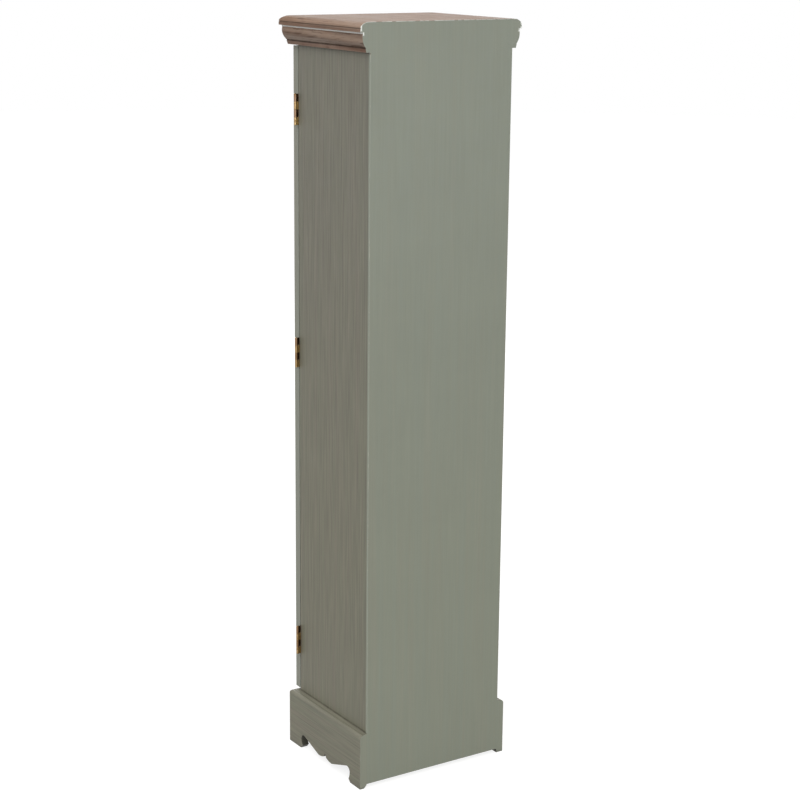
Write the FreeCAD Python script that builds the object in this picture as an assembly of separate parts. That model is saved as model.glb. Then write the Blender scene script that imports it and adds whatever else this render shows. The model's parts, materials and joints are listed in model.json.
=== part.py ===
"""Slim display cabinet: painted carcass on a scalloped plinth, brown crown and top, and a hinged glazed door.

Millimetres. +Z is up and the door faces -Y. The origin is on the floor, under the middle of the outline.
"""
import FreeCAD
import Part
import math
import os

# Carcass
TOTAL_HEIGHT = 1500.0
BODY_WIDTH = 318.0          # over the outer faces of the side panels
CARCASS_DEPTH = 261.0       # back of the back panel to the front edges of the side panels
SIDE_THICKNESS = 16.0
BACK_THICKNESS = 5.0
BOARD_THICKNESS = 16.0      # bottom board and ceiling board
SHELF_THICKNESS = 15.0
SHELF_SETBACK = 10.0        # shelf edge behind the front edges of the side panels
HOUSING_DEPTH = 5.0         # groove in the side panels that takes a board or a shelf
SIDE_FLOOR_GAP = 45.0       # lower end of the side panels above the floor
BACK_FLOOR_GAP = 8.0
ARRIS = 0.8                 # eased outer edges of the panels

# Top board and crown moulding
TOP_THICKNESS = 18.2
TOP_OVERHANG = 21.0
TOP_ROUND_HEIGHT = 12.0
TOP_ROUND_WIDTH = 16.5
TOP_NOSE = 8.0              # small radius low on the rounded edge
TOP_QUIRK = 1.0             # small step under the rounded edge
CROWN_HEIGHT = 36.3
CROWN_PROJECTION = 16.5
CROWN_FOOT = 7.2            # projection at the very bottom
CROWN_FILLET = 9.0          # projection of the flat band above the bottom edge
CROWN_FILLET_HEIGHT = 7.5
CROWN_QUIRK = 1.0           # step between the band and the round
CROWN_LIP_HEIGHT = 2.4      # upright band between the round and the bevel
CROWN_BEVEL_WIDTH = 0.6
CROWN_BEVEL_HEIGHT = 0.6
RAIL_THICKNESS = 18.0       # crown rail over the door
CLEAT_WIDTH = 20.0
CLEAT_HEIGHT = 18.0

# Plinth
PLINTH_HEIGHT = 115.5       # at the top of its rounded edge
PLINTH_SIDE_THICKNESS = 15.5
PLINTH_FRONT_THICKNESS = 20.0
PLINTH_ROUND = 7.0
PLINTH_STEP = 0.8           # fine step between the rounded edge and the ledge
PLINTH_LEDGE_SLOPE = 0.15   # rise of the ledge towards the carcass
FOOT_LENGTH = 44.0
APRON_SHIFT = 4.0           # middle of a side apron behind the middle of its board
TOE_CHAMFER = 2.0
SPUR_DEPTH = 4.5            # point low on the inner side of a foot
SPUR_HEIGHT = 7.0
ARCH_HEIGHT = 31.5
ARCH_ROUND = 10.0
LOBE_HEIGHT = 12.0          # lowest point of the apron
LOBE_REACH = 24.0           # from the middle of the apron to that point
LOBE_ROUND = 15.0           # radius of the lobe towards the foot
NOTCH_HEIGHT = 23.0
NOTCH_RADIUS = 3.0
NOTCH_SIDE = 2.5            # straight sides below the notch's round top
CUT_MARGIN = 1.0            # cuts run this far past the face they leave through
BLOCK_LEG = 30.0            # corner blocks behind the plinth

# Door
DOOR_THICKNESS = 18.0
DOOR_TOP_GAP = 2.5
DOOR_BOTTOM_GAP = 3.5
DOOR_LAP = 7.0              # door over the bottom board and the ceiling board
DOOR_ROUND = 2.0
STILE_WIDTH = 46.0
TOP_RAIL_WIDTH = 50.0
BOTTOM_RAIL_WIDTH = 62.0
BAR_WIDTH = 20.0
TENON_LENGTH = 25.0
TENON_THICKNESS = 5.0
TENON_SHOULDER = 5.0
BAR_TENON_LENGTH = 8.0
BAR_TENON_SHOULDER = 3.0
STICKING = 3.0              # chamfer around each light
LIP_THICKNESS = 8.5         # wood in front of the glass
RABBET_WIDTH = 9.0
GLASS_THICKNESS = 3.0
GLASS_CLEARANCE = 1.0
BEAD_WIDTH = 8.0
BEAD_THICKNESS = 6.0
BEAD_ROUND = 4.0
LEVELS = ("lower", "middle", "upper")   # shelves, with a glazing bar in front of each

# Hinges
HINGE_LENGTH = 60.0
HINGE_KNUCKLES = 4
KNUCKLE_GAP = 0.2
AXIS_OFFSET = 6.5           # hinge axis outside the side panel's face
BARREL_RADIUS = 3.0
PIN_RADIUS = 1.5
PIN_CLEARANCE = 0.05
PIN_HEAD_RADIUS = 2.4
PIN_HEAD_HEIGHT = 0.7
PIN_HEAD_GAP = 0.2
LEAF_WIDTH = 20.0           # from the axis
LEAF_THICKNESS = 1.0
LEAF_PLAY = 0.2             # between the two leaves when the door is shut
LEAF_SETBACK = 0.2          # leaf edge inside the side panel's face, beside the other leaf's knuckles
HINGE_TOP_DISTANCE = 121.0  # middle of the hinge below the door's top
HINGE_MIDDLE_LIFT = 58.0    # middle of the hinge above the door's middle
HINGE_BOTTOM_DISTANCE = 108.0
HINGE_SCREW_PITCH = 21.0

# Fasteners
SCREW_CLEARANCE = 0.1
HEAD_RECESS = 0.1           # screw heads below the face they sit in
DRIVE_WIDTH = 0.7           # arms of the cross recess
DRIVE_REACH = 0.7           # share of the head's radius
DRIVE_DEPTH = 0.6
HINGE_SCREW = {"head_radius": 2.6, "head_height": 1.6, "radius": 1.4, "length": 14.0}
BOARD_SCREW = {"head_radius": 3.4, "head_height": 2.2, "radius": 1.9, "length": 27.0}
CATCH_SCREW = {"head_radius": 2.6, "head_height": 1.6, "radius": 1.4, "length": 22.0}
STRIKE_SCREW = {"head_radius": 2.2, "head_height": 1.2, "radius": 1.1, "length": 11.0}
BACK_NAIL = {"head_radius": 1.5, "head_height": 0.9, "radius": 0.8, "length": 24.0}
BEAD_PIN = {"head_radius": 0.9, "head_height": 0.6, "radius": 0.5, "length": 15.0}
PLINTH_SCREW_PITCH = 86.0
TOP_SCREW_PITCH = 128.0
BACK_NAIL_PITCH = 200.0
BACK_NAIL_INSET = 30.0      # first and last nail from the ends of the side panels
BEAD_PIN_PITCH = 300.0
BEAD_PIN_INSET = 40.0
BEAD_PIN_OFFSET = 1.3       # from the glass to a pin's middle

# Knob
KNOB_HEIGHT = 740.0
KNOB_PROJECTION = 17.5
KNOB_RADIUS = 12.0
KNOB_NECK_RADIUS = 5.0
KNOB_NECK_LENGTH = 3.25     # straight part of the neck
KNOB_DOME_HEIGHT = 6.0      # front of the knob above its widest part
KNOB_HOLLOW = 1.2           # how far the underside of the head curves in
BACKPLATE_RADIUS = 11.0
BACKPLATE_THICKNESS = 2.0
KNOB_SCREW_RADIUS = 2.0
KNOB_SCREW_DEPTH = 9.0      # thread inside the knob
KNOB_SCREW_HEAD_RADIUS = 4.0
KNOB_SCREW_HEAD_HEIGHT = 2.2

# Catch
CATCH_WIDTH = 46.0
CATCH_DEPTH = 16.0
CATCH_HEIGHT = 13.0
CATCH_SIDE_DISTANCE = 20.0  # from the latch-side panel to the catch
CATCH_SCREW_INSET = 7.0
MAGNET_WIDTH = 22.0
MAGNET_DEPTH = 12.0
MAGNET_HEIGHT = 8.0
MAGNET_CLEARANCE = 0.1
STRIKE_WIDTH = 38.0
STRIKE_HEIGHT = 11.0
STRIKE_THICKNESS = 1.2
STRIKE_GAP = 0.35           # magnet to strike plate when the door is shut
BUMPER_RADIUS = 4.0
BUMPER_GAP = 0.3
BUMPER_DISTANCE = 75.0      # from the door's ends

# Places that follow from the sizes
half_body = BODY_WIDTH / 2
half_inside = half_body - SIDE_THICKNESS
back_y = (CARCASS_DEPTH + RAIL_THICKNESS + TOP_OVERHANG) / 2
inside_back_y = back_y - BACK_THICKNESS
front_y = back_y - CARCASS_DEPTH
rail_front_y = front_y - RAIL_THICKNESS
plinth_front_y = front_y - PLINTH_FRONT_THICKNESS
door_gap = 2 * LEAF_THICKNESS + LEAF_PLAY
door_back_y = front_y - door_gap
door_front_y = door_back_y - DOOR_THICKNESS
lip_y = door_front_y + LIP_THICKNESS
bead_front_y = lip_y + GLASS_THICKNESS
top_bottom_z = TOTAL_HEIGHT - TOP_THICKNESS
crown_bottom_z = top_bottom_z - CROWN_HEIGHT
ledge_top_z = PLINTH_HEIGHT + PLINTH_LEDGE_SLOPE * (PLINTH_FRONT_THICKNESS - PLINTH_ROUND)
side_ledge_z = PLINTH_HEIGHT + PLINTH_LEDGE_SLOPE * (PLINTH_SIDE_THICKNESS - PLINTH_ROUND)
door_bottom_z = ledge_top_z + DOOR_BOTTOM_GAP
door_top_z = crown_bottom_z - DOOR_TOP_GAP
floor_z = door_bottom_z + DOOR_LAP
ceiling_z = door_top_z - DOOR_LAP
light_half = half_body - STILE_WIDTH
light_bottom_z = door_bottom_z + BOTTOM_RAIL_WIDTH
light_top_z = door_top_z - TOP_RAIL_WIDTH
light_height = (light_top_z - light_bottom_z - len(LEVELS) * BAR_WIDTH) / (len(LEVELS) + 1)
level_z = {}
for step, level in enumerate(LEVELS):
    level_z[level] = light_bottom_z + (step + 1) * light_height + (step + 0.5) * BAR_WIDTH
hinge_z = {
    "top": door_top_z - HINGE_TOP_DISTANCE,
    "middle": (door_top_z + door_bottom_z) / 2 + HINGE_MIDDLE_LIFT,
    "bottom": door_bottom_z + HINGE_BOTTOM_DISTANCE,
}
axis_x = half_body + AXIS_OFFSET
axis_y = (front_y + door_back_y) / 2
hinge_screw_x = half_body - SIDE_THICKNESS / 2
knuckle_length = (HINGE_LENGTH - (HINGE_KNUCKLES - 1) * KNUCKLE_GAP) / HINGE_KNUCKLES
knob_x = STILE_WIDTH / 2 - half_body
catch_x = CATCH_SIDE_DISTANCE + CATCH_WIDTH / 2 - half_inside
catch_z = ceiling_z - CATCH_HEIGHT / 2
bumper_x = SIDE_THICKNESS / 2 - half_body

V = FreeCAD.Vector
UP = V(0, 0, 1)
DOWN = V(0, 0, -1)
RIGHT = V(1, 0, 0)
LEFT = V(-1, 0, 0)
FORWARD = V(0, -1, 0)
BACKWARD = V(0, 1, 0)
MIDDLE = V(0, 0, 0)


def block(x, y, z):
    """A block between a low and a high value on each axis."""
    return Part.makeBox(x[1] - x[0], y[1] - y[0], z[1] - z[0], V(x[0], y[0], z[0]))


def outline_face(place, start, moves):
    """A face from moves around its edge: (end,) is a straight line, (middle, end) an arc."""
    edges = []
    here = place(*start)
    for move in moves:
        points = [place(*point) for point in move]
        if len(points) == 1:
            edges.append(Part.LineSegment(here, points[0]).toShape())
        else:
            edges.append(Part.Arc(here, points[0], points[1]).toShape())
        here = points[-1]
    edges.append(Part.LineSegment(here, place(*start)).toShape())
    return Part.Face(Part.Wire(edges))


def on_circle(centre, radius, degrees):
    """A point on a circle in an outline's own plane."""
    angle = math.radians(degrees)
    return centre[0] + radius * math.cos(angle), centre[1] + radius * math.sin(angle)


def whole(shape):
    """The one solid of a cut or joined shape, without leftover seams."""
    return shape.removeSplitter().Solids[0]


def mirrored(shape):
    """The same piece on the other side of the cabinet."""
    return shape.mirror(MIDDLE, RIGHT)


def rounded(shape, radius, wanted):
    """The shape with the wanted edges rounded, chosen by their middle points."""
    edges = [edge for edge in shape.Edges if wanted(edge.CenterOfMass)]
    return shape.makeFillet(radius, edges)


def turned(shape, direction, point):
    """A piece drawn along +Z, turned to a direction and set at a point."""
    turn = FreeCAD.Rotation(UP, direction)
    return shape.transformed(FreeCAD.Placement(point, turn).toMatrix())


def fastener_body(size, clearance):
    """Countersunk head and shank, head up at the origin, grown by a clearance for its hole."""
    radius = size["radius"] + clearance
    depth = size["head_height"]
    head = Part.makeCone(radius, size["head_radius"] + clearance, depth, V(0, 0, -depth))
    reach = size["length"] + clearance
    shank = Part.makeCylinder(radius, reach, V(0, 0, -reach))
    return whole(head.fuse(shank))


def nail(size, point, direction):
    """A nail or pin whose head faces along a direction, flush at a point."""
    return turned(fastener_body(size, 0.0), direction, point)


def screw(size, point, direction):
    """A countersunk screw with a cross recess."""
    body = fastener_body(size, 0.0)
    arm = size["head_radius"] * DRIVE_REACH
    half = DRIVE_WIDTH / 2
    across = block((-arm, arm), (-half, half), (-DRIVE_DEPTH, CUT_MARGIN))
    along = block((-half, half), (-arm, arm), (-DRIVE_DEPTH, CUT_MARGIN))
    return turned(whole(body.cut(across).cut(along)), direction, point - direction * HEAD_RECESS)


def drilled(shape, size, places, recess=HEAD_RECESS):
    """The shape with a clearance hole for each (point, direction) of a fastener."""
    for point, direction in places:
        hole = turned(fastener_body(size, SCREW_CLEARANCE), direction, point - direction * recess)
        mouth = Part.makeCylinder(size["head_radius"] + SCREW_CLEARANCE, recess + CUT_MARGIN)
        shape = shape.cut(hole).cut(turned(mouth, direction, point - direction * recess))
    return whole(shape)


def even_places(low, high, pitch):
    """Even places between two ends, no further apart than a pitch."""
    count = math.ceil((high - low) / pitch)
    return [low + (high - low) * step / count for step in range(count + 1)]


# Where the fasteners go
def hinge_screw_places(level, face_y, direction):
    """Places of the three screws of one hinge leaf."""
    heights = [hinge_z[level] + step * HINGE_SCREW_PITCH for step in (-1, 0, 1)]
    return [(V(hinge_screw_x, face_y, height), direction) for height in heights]


def frame_screw_places():
    """Places of the screws that hold the hinges to the side panel."""
    places = []
    for level in hinge_z:
        places += hinge_screw_places(level, front_y - LEAF_THICKNESS, FORWARD)
    return places


def door_screw_places():
    """Places of the screws that hold the hinges to the door."""
    places = []
    for level in hinge_z:
        places += hinge_screw_places(level, door_back_y + LEAF_THICKNESS, BACKWARD)
    return places


def back_nail_places():
    """Places of the nails of the back panel, along the side panels and the two boards."""
    nail_x = half_body - SIDE_THICKNESS / 2
    heights = even_places(SIDE_FLOOR_GAP + BACK_NAIL_INSET, top_bottom_z - BACK_NAIL_INSET, BACK_NAIL_PITCH)
    spots = [(x, height) for x in (-nail_x, nail_x) for height in heights]
    for height in (floor_z - BOARD_THICKNESS / 2, ceiling_z + BOARD_THICKNESS / 2):
        spots += [(x, height) for x in (-nail_x / 2, 0.0, nail_x / 2)]
    return [(V(x, back_y, height), BACKWARD) for x, height in spots]


def plinth_screw_places():
    """Places of the screws from the side panels into the plinth's sides."""
    height = (SIDE_FLOOR_GAP + floor_z - BOARD_THICKNESS) / 2
    middle = (inside_back_y + front_y) / 2
    places = []
    for y in (middle - PLINTH_SCREW_PITCH / 2, middle + PLINTH_SCREW_PITCH / 2):
        places.append((V(half_inside, y, height), LEFT))
        places.append((V(-half_inside, y, height), RIGHT))
    return places


def top_screw_places():
    """Places of the screws from the cleats up into the top board."""
    x = half_inside - CLEAT_WIDTH / 2
    middle = (inside_back_y + front_y) / 2
    height = top_bottom_z - CLEAT_HEIGHT
    places = []
    for y in (middle - TOP_SCREW_PITCH / 2, middle + TOP_SCREW_PITCH / 2):
        places.append((V(x, y, height), DOWN))
        places.append((V(-x, y, height), DOWN))
    return places


def catch_screw_places():
    """Places of the two screws of the catch."""
    spread = CATCH_WIDTH / 2 - CATCH_SCREW_INSET
    y = front_y + CATCH_DEPTH / 2
    return [(V(catch_x + way * spread, y, ceiling_z - CATCH_HEIGHT), DOWN) for way in (-1, 1)]


def strike_screw_places():
    """Place of the strike plate's screw."""
    return [(V(catch_x, door_back_y + STRIKE_THICKNESS, catch_z), BACKWARD)]


def bead_pin_places():
    """Places of the pins that hold the glazing beads in the rabbet."""
    y = bead_front_y + BEAD_PIN_OFFSET
    reach_x = light_half + RABBET_WIDTH - BEAD_WIDTH
    low_z = light_bottom_z - RABBET_WIDTH + BEAD_WIDTH
    high_z = light_top_z + RABBET_WIDTH - BEAD_WIDTH
    places = []
    for height in even_places(low_z + BEAD_PIN_INSET, high_z - BEAD_PIN_INSET, BEAD_PIN_PITCH):
        places.append((V(reach_x, y, height), LEFT))
        places.append((V(-reach_x, y, height), RIGHT))
    for x in (BEAD_PIN_INSET - reach_x, reach_x - BEAD_PIN_INSET):
        places.append((V(x, y, low_z), UP))
        places.append((V(x, y, high_z), DOWN))
    return places


def screws(size, places):
    """Separate screws as one group."""
    return Part.makeCompound([screw(size, point, direction) for point, direction in places])


def nails(size, places):
    """Separate nails or pins as one group."""
    return Part.makeCompound([nail(size, point, direction) for point, direction in places])


# Carcass
def housed_boards():
    """Height range and front edge of each board that the side panels house."""
    shelf_y = front_y + SHELF_SETBACK
    boards = {
        "bottom_board": (floor_z - BOARD_THICKNESS, floor_z, front_y),
        "ceiling_board": (ceiling_z, ceiling_z + BOARD_THICKNESS, front_y),
    }
    for level in LEVELS:
        middle = level_z[level]
        boards["shelf_" + level] = (middle - SHELF_THICKNESS / 2, middle + SHELF_THICKNESS / 2, shelf_y)
    return boards


def housed_board(name):
    """A board or shelf with its ends in the side panels' grooves."""
    low, high, edge_y = housed_boards()[name]
    half = half_inside + HOUSING_DEPTH
    board = block((-half, half), (edge_y, inside_back_y), (low, high))
    if name == "bottom_board" or name == "ceiling_board":
        board = drilled(board, BACK_NAIL, back_nail_places(), 0.0)
    if name == "ceiling_board":
        board = drilled(board, CATCH_SCREW, catch_screw_places())
    return board


def side_panel():
    """Right side panel with its grooves and screw holes."""
    panel = block((half_inside, half_body), (front_y, inside_back_y), (SIDE_FLOOR_GAP, top_bottom_z))
    panel = rounded(panel, ARRIS, lambda p: p.x > half_body - ARRIS and p.y < front_y + ARRIS)
    groove_x = (half_inside, half_inside + HOUSING_DEPTH)
    for low, high, edge_y in housed_boards().values():
        panel = panel.cut(block(groove_x, (edge_y, inside_back_y), (low, high)))
    panel = drilled(panel, BACK_NAIL, back_nail_places(), 0.0)
    return drilled(panel, BOARD_SCREW, plinth_screw_places())


def hinge_side_panel():
    """Right side panel with the hinge screws' holes."""
    return drilled(side_panel(), HINGE_SCREW, frame_screw_places())


def back_panel():
    """Plain back over the full width of the body, with eased edges between the plinth and the crown."""
    width = (-half_body, half_body)
    depth = (inside_back_y, back_y)
    panel = block(width, depth, (side_ledge_z, crown_bottom_z))
    panel = rounded(panel, ARRIS, lambda p: abs(p.x) > half_body - ARRIS and p.y > back_y - ARRIS)
    for heights in ((BACK_FLOOR_GAP, side_ledge_z), (crown_bottom_z, top_bottom_z)):
        panel = panel.fuse(block(width, depth, heights))
    return drilled(panel, BACK_NAIL, back_nail_places(), 0.0)


# Top and crown
def top_edge(reach):
    """Moves around the edge of the top in section, from its lower corner to its upper face."""
    lip_z = TOTAL_HEIGHT - TOP_ROUND_HEIGHT
    width, height = TOP_ROUND_WIDTH, TOP_ROUND_HEIGHT
    flat = reach - TOP_QUIRK - width
    nose = (reach - TOP_QUIRK - TOP_NOSE, lip_z)
    radius = (width ** 2 + height ** 2 - 2 * width * TOP_NOSE) / (2 * (height - TOP_NOSE))
    upper = (flat, TOTAL_HEIGHT - radius)
    turn = math.degrees(math.atan2(nose[1] - upper[1], nose[0] - upper[0]))
    return [
        ((reach, top_bottom_z),),
        ((reach, lip_z),),
        ((reach - TOP_QUIRK, lip_z),),
        (on_circle(nose, TOP_NOSE, turn / 2), on_circle(nose, TOP_NOSE, turn)),
        (on_circle(upper, radius, (turn + 90) / 2), (flat, TOTAL_HEIGHT)),
    ]


def top_board():
    """Top with a rounded edge and a small step under it, on the front and both sides."""
    half = half_body + TOP_OVERHANG
    moves = top_edge(half) + [((0, TOTAL_HEIGHT),)]
    right = outline_face(lambda u, v: V(u, -back_y, v), (0, top_bottom_z), moves)
    right = right.extrude(BACKWARD * 2 * back_y)
    moves = top_edge(back_y) + [((-back_y, TOTAL_HEIGHT),)]
    front = outline_face(lambda u, v: V(-half, -u, v), (-back_y, top_bottom_z), moves)
    front = front.extrude(RIGHT * 2 * half)
    board = right.fuse(mirrored(right)).removeSplitter().common(front)
    return drilled(board, BOARD_SCREW, top_screw_places())


def crown_profile(place):
    """Section of the crown moulding: projection from its backing, height."""
    low = crown_bottom_z
    band_z = low + CROWN_FILLET_HEIGHT
    bevel_z = top_bottom_z - CROWN_BEVEL_HEIGHT
    round_z = bevel_z - CROWN_LIP_HEIGHT
    height = round_z - band_z
    start = CROWN_FILLET - CROWN_QUIRK
    rise = CROWN_PROJECTION - start
    radius = (rise ** 2 + height ** 2) / (2 * rise)
    centre = (CROWN_PROJECTION - radius, round_z)
    sweep = math.degrees(math.asin(height / radius))
    return outline_face(place, (0, low), [
        ((CROWN_FOOT, low),),
        ((CROWN_FILLET, band_z),),
        ((start, band_z),),
        (on_circle(centre, radius, -sweep / 2), (CROWN_PROJECTION, round_z)),
        ((CROWN_PROJECTION, bevel_z),),
        ((CROWN_PROJECTION - CROWN_BEVEL_WIDTH, top_bottom_z),),
        ((0, top_bottom_z),),
    ])


def plinth_profile(place, thickness):
    """Section of a plinth board: distance from the carcass, height."""
    ledge = thickness - PLINTH_ROUND
    round_z = PLINTH_HEIGHT - PLINTH_STEP - PLINTH_ROUND
    return outline_face(place, (0, 0), [
        ((thickness, 0),),
        ((thickness, round_z),),
        (on_circle((ledge, round_z), PLINTH_ROUND, 45), (ledge, round_z + PLINTH_ROUND)),
        ((ledge, PLINTH_HEIGHT),),
        ((0, PLINTH_HEIGHT + PLINTH_LEDGE_SLOPE * ledge),),
    ])


def corner_wedge(corner, legs, heights):
    """An upright block whose plan has one corner at a point and the others a leg away from it."""
    points = [V(corner[0], corner[1], heights[0])]
    points += [V(corner[0] + leg[0], corner[1] + leg[1], heights[0]) for leg in legs]
    plan = Part.Face(Part.makePolygon(points + points[:1]))
    return plan.extrude(UP * (heights[1] - heights[0]))


def mitred_front(profile, side_reach, front_reach, plane_y, heights):
    """Front length of a moulding, mitred at both ends."""
    half = half_body + side_reach
    strip = profile(lambda u, v: V(-half, plane_y - u, v)).extrude(RIGHT * 2 * half)
    long = front_reach + CUT_MARGIN
    corner = (half, plane_y - front_reach)
    wedge = corner_wedge(corner, ((-long, long), (CUT_MARGIN, long), (CUT_MARGIN, 0)), heights)
    beside = block((half_body, half + CUT_MARGIN), (plane_y - front_reach, plane_y + CUT_MARGIN), heights)
    wedge = wedge.common(beside)
    return whole(strip.cut(wedge).cut(mirrored(wedge)))


def mitred_side(profile, side_reach, front_reach, plane_y, heights):
    """Right length of a moulding, mitred at the front and square at the back."""
    low_y = plane_y - front_reach
    strip = profile(lambda u, v: V(half_body + u, low_y, v)).extrude(BACKWARD * (back_y - low_y))
    long = side_reach + CUT_MARGIN
    corner = (half_body + side_reach, low_y)
    wedge = corner_wedge(corner, ((-long, long), (-long, -CUT_MARGIN), (0, -CUT_MARGIN)), heights)
    return whole(strip.cut(wedge))


def crown_rail():
    """Rail over the door that backs the front moulding."""
    return block((-half_body, half_body), (rail_front_y, front_y), (crown_bottom_z, top_bottom_z))


def top_cleat():
    """Right cleat under the top board, with its screw holes."""
    heights = (top_bottom_z - CLEAT_HEIGHT, top_bottom_z)
    cleat = block((half_inside - CLEAT_WIDTH, half_inside), (front_y, inside_back_y), heights)
    return drilled(cleat, BOARD_SCREW, top_screw_places())


# Plinth
def scallop_half(place, half_length, through):
    """One half of the space under an apron, from its middle to the foot."""
    foot = half_length - FOOT_LENGTH
    crest = foot - ARCH_ROUND
    notch_z = NOTCH_HEIGHT - NOTCH_RADIUS
    lobe_z = notch_z - NOTCH_SIDE
    drop = lobe_z - LOBE_HEIGHT
    lobe_run = LOBE_REACH - NOTCH_RADIUS
    lobe_radius = (lobe_run ** 2 + drop ** 2) / (2 * drop)
    lobe_sweep = math.degrees(math.atan2(lobe_run, lobe_radius - drop))
    lobe = (LOBE_REACH, LOBE_HEIGHT)
    lobe_centre = (LOBE_REACH, LOBE_HEIGHT + lobe_radius)
    ramp_centre = (LOBE_REACH, LOBE_HEIGHT + LOBE_ROUND)
    arch_z = ARCH_HEIGHT - ARCH_ROUND
    arch_centre = (crest, arch_z)
    span = math.dist(ramp_centre, arch_centre)
    fall = math.atan2(arch_z - ramp_centre[1], crest - LOBE_REACH)
    slope = math.degrees(fall + math.asin((LOBE_ROUND + ARCH_ROUND) / span))
    ramp_start = on_circle(ramp_centre, LOBE_ROUND, slope - 90)
    ramp_end = on_circle(arch_centre, ARCH_ROUND, 90 + slope)
    heel_height = arch_z - SPUR_HEIGHT
    heel_radius = (SPUR_DEPTH ** 2 + heel_height ** 2) / (2 * SPUR_DEPTH)
    heel_sweep = math.degrees(math.asin(heel_height / heel_radius))
    heel_middle = on_circle((foot - heel_radius, arch_z), heel_radius, -heel_sweep / 2)
    face = outline_face(place, (0, -CUT_MARGIN), [
        ((0, NOTCH_HEIGHT),),
        (on_circle((0, notch_z), NOTCH_RADIUS, 45), (NOTCH_RADIUS, notch_z)),
        ((NOTCH_RADIUS, lobe_z),),
        (on_circle(lobe_centre, lobe_radius, -90 - lobe_sweep / 2), lobe),
        (on_circle(ramp_centre, LOBE_ROUND, slope / 2 - 90), ramp_start),
        (ramp_end,),
        (on_circle(arch_centre, ARCH_ROUND, 45), (foot, arch_z)),
        (heel_middle, (foot - SPUR_DEPTH, SPUR_HEIGHT)),
        ((foot + TOE_CHAMFER, 0),),
        ((foot + TOE_CHAMFER, -CUT_MARGIN),),
    ])
    return face.extrude(through)


def plinth_front():
    """Front plinth board, mitred and scalloped."""
    half = half_body + PLINTH_SIDE_THICKNESS
    board = mitred_front(lambda place: plinth_profile(place, PLINTH_FRONT_THICKNESS), PLINTH_SIDE_THICKNESS,
                         PLINTH_FRONT_THICKNESS, front_y, (-CUT_MARGIN, TOTAL_HEIGHT))
    start_y = plinth_front_y - CUT_MARGIN
    through = BACKWARD * (PLINTH_FRONT_THICKNESS + 2 * CUT_MARGIN)
    space = scallop_half(lambda u, v: V(u, start_y, v), half, through)
    return whole(board.cut(space).cut(mirrored(space)))


def plinth_side():
    """Right plinth board, scalloped, with the screws' holes."""
    board = mitred_side(lambda place: plinth_profile(place, PLINTH_SIDE_THICKNESS), PLINTH_SIDE_THICKNESS,
                        PLINTH_FRONT_THICKNESS, front_y, (-CUT_MARGIN, TOTAL_HEIGHT))
    middle_y = (back_y + plinth_front_y) / 2 + APRON_SHIFT
    start_x = half_body - CUT_MARGIN
    through = RIGHT * (PLINTH_SIDE_THICKNESS + 2 * CUT_MARGIN)
    space = scallop_half(lambda u, v: V(start_x, middle_y + u, v), (back_y - plinth_front_y) / 2, through)
    other = space.mirror(V(0, middle_y, 0), BACKWARD)
    return drilled(whole(board.cut(space).cut(other)), BOARD_SCREW, plinth_screw_places())


def plinth_corner_blocks():
    """Four three-cornered blocks under the bottom board, one in each corner."""
    heights = (SIDE_FLOOR_GAP, floor_z - BOARD_THICKNESS)
    back = corner_wedge((half_inside, inside_back_y), ((-BLOCK_LEG, 0), (0, -BLOCK_LEG)), heights)
    front = corner_wedge((half_inside, front_y), ((-BLOCK_LEG, 0), (0, BLOCK_LEG)), heights)
    return Part.makeCompound([back, front, mirrored(back), mirrored(front)])


# Door
def door_blank():
    """The whole door as one slab, with its outer front edges rounded."""
    slab = block((-half_body, half_body), (door_front_y, door_back_y), (door_bottom_z, door_top_z))
    return rounded(slab, DOOR_ROUND, lambda p: p.y < door_front_y + DOOR_ROUND)


def light_chamfers():
    """The cuts that chamfer the front edge around each light."""
    inner_y = door_front_y + STICKING
    wide = light_half + STICKING
    cuts = []
    for step in range(len(LEVELS) + 1):
        low = light_bottom_z + step * (light_height + BAR_WIDTH)
        high = low + light_height
        grown = (low - STICKING, high + STICKING)
        plan = [V(-wide, door_front_y, grown[0]), V(wide, door_front_y, grown[0]),
                V(light_half, inner_y, grown[0]), V(-light_half, inner_y, grown[0])]
        side = [V(-wide, door_front_y, grown[0]), V(-wide, door_front_y, grown[1]),
                V(-wide, inner_y, high), V(-wide, inner_y, low)]
        upright = Part.Face(Part.makePolygon(plan + plan[:1])).extrude(UP * (grown[1] - grown[0]))
        across = Part.Face(Part.makePolygon(side + side[:1])).extrude(RIGHT * 2 * wide)
        cuts.append(upright.common(across))
    return cuts


def glass_pocket():
    """The rabbet behind the lights, open at the door's back."""
    half = light_half + RABBET_WIDTH
    heights = (light_bottom_z - RABBET_WIDTH, light_top_z + RABBET_WIDTH)
    return block((-half, half), (lip_y, door_back_y), heights)


def tenon_y():
    """Depth range of the tenons, in the middle of the wood in front of the glass."""
    middle = (door_front_y + lip_y) / 2
    return middle - TENON_THICKNESS / 2, middle + TENON_THICKNESS / 2


def rail_heights():
    """Height range of each rail and glazing bar."""
    ranges = {
        "door_rail_bottom": (door_bottom_z, light_bottom_z),
        "door_rail_top": (light_top_z, door_top_z),
    }
    for level in LEVELS:
        ranges["door_bar_" + level] = (level_z[level] - BAR_WIDTH / 2, level_z[level] + BAR_WIDTH / 2)
    return ranges


def door_tenons(name):
    """Both tenons of a rail or bar, as one block from end to end."""
    low, high = rail_heights()[name]
    length, shoulder = TENON_LENGTH, TENON_SHOULDER
    if "bar" in name:
        length, shoulder = BAR_TENON_LENGTH, BAR_TENON_SHOULDER
    half = light_half + length
    return block((-half, half), tenon_y(), (low + shoulder, high - shoulder))


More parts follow.
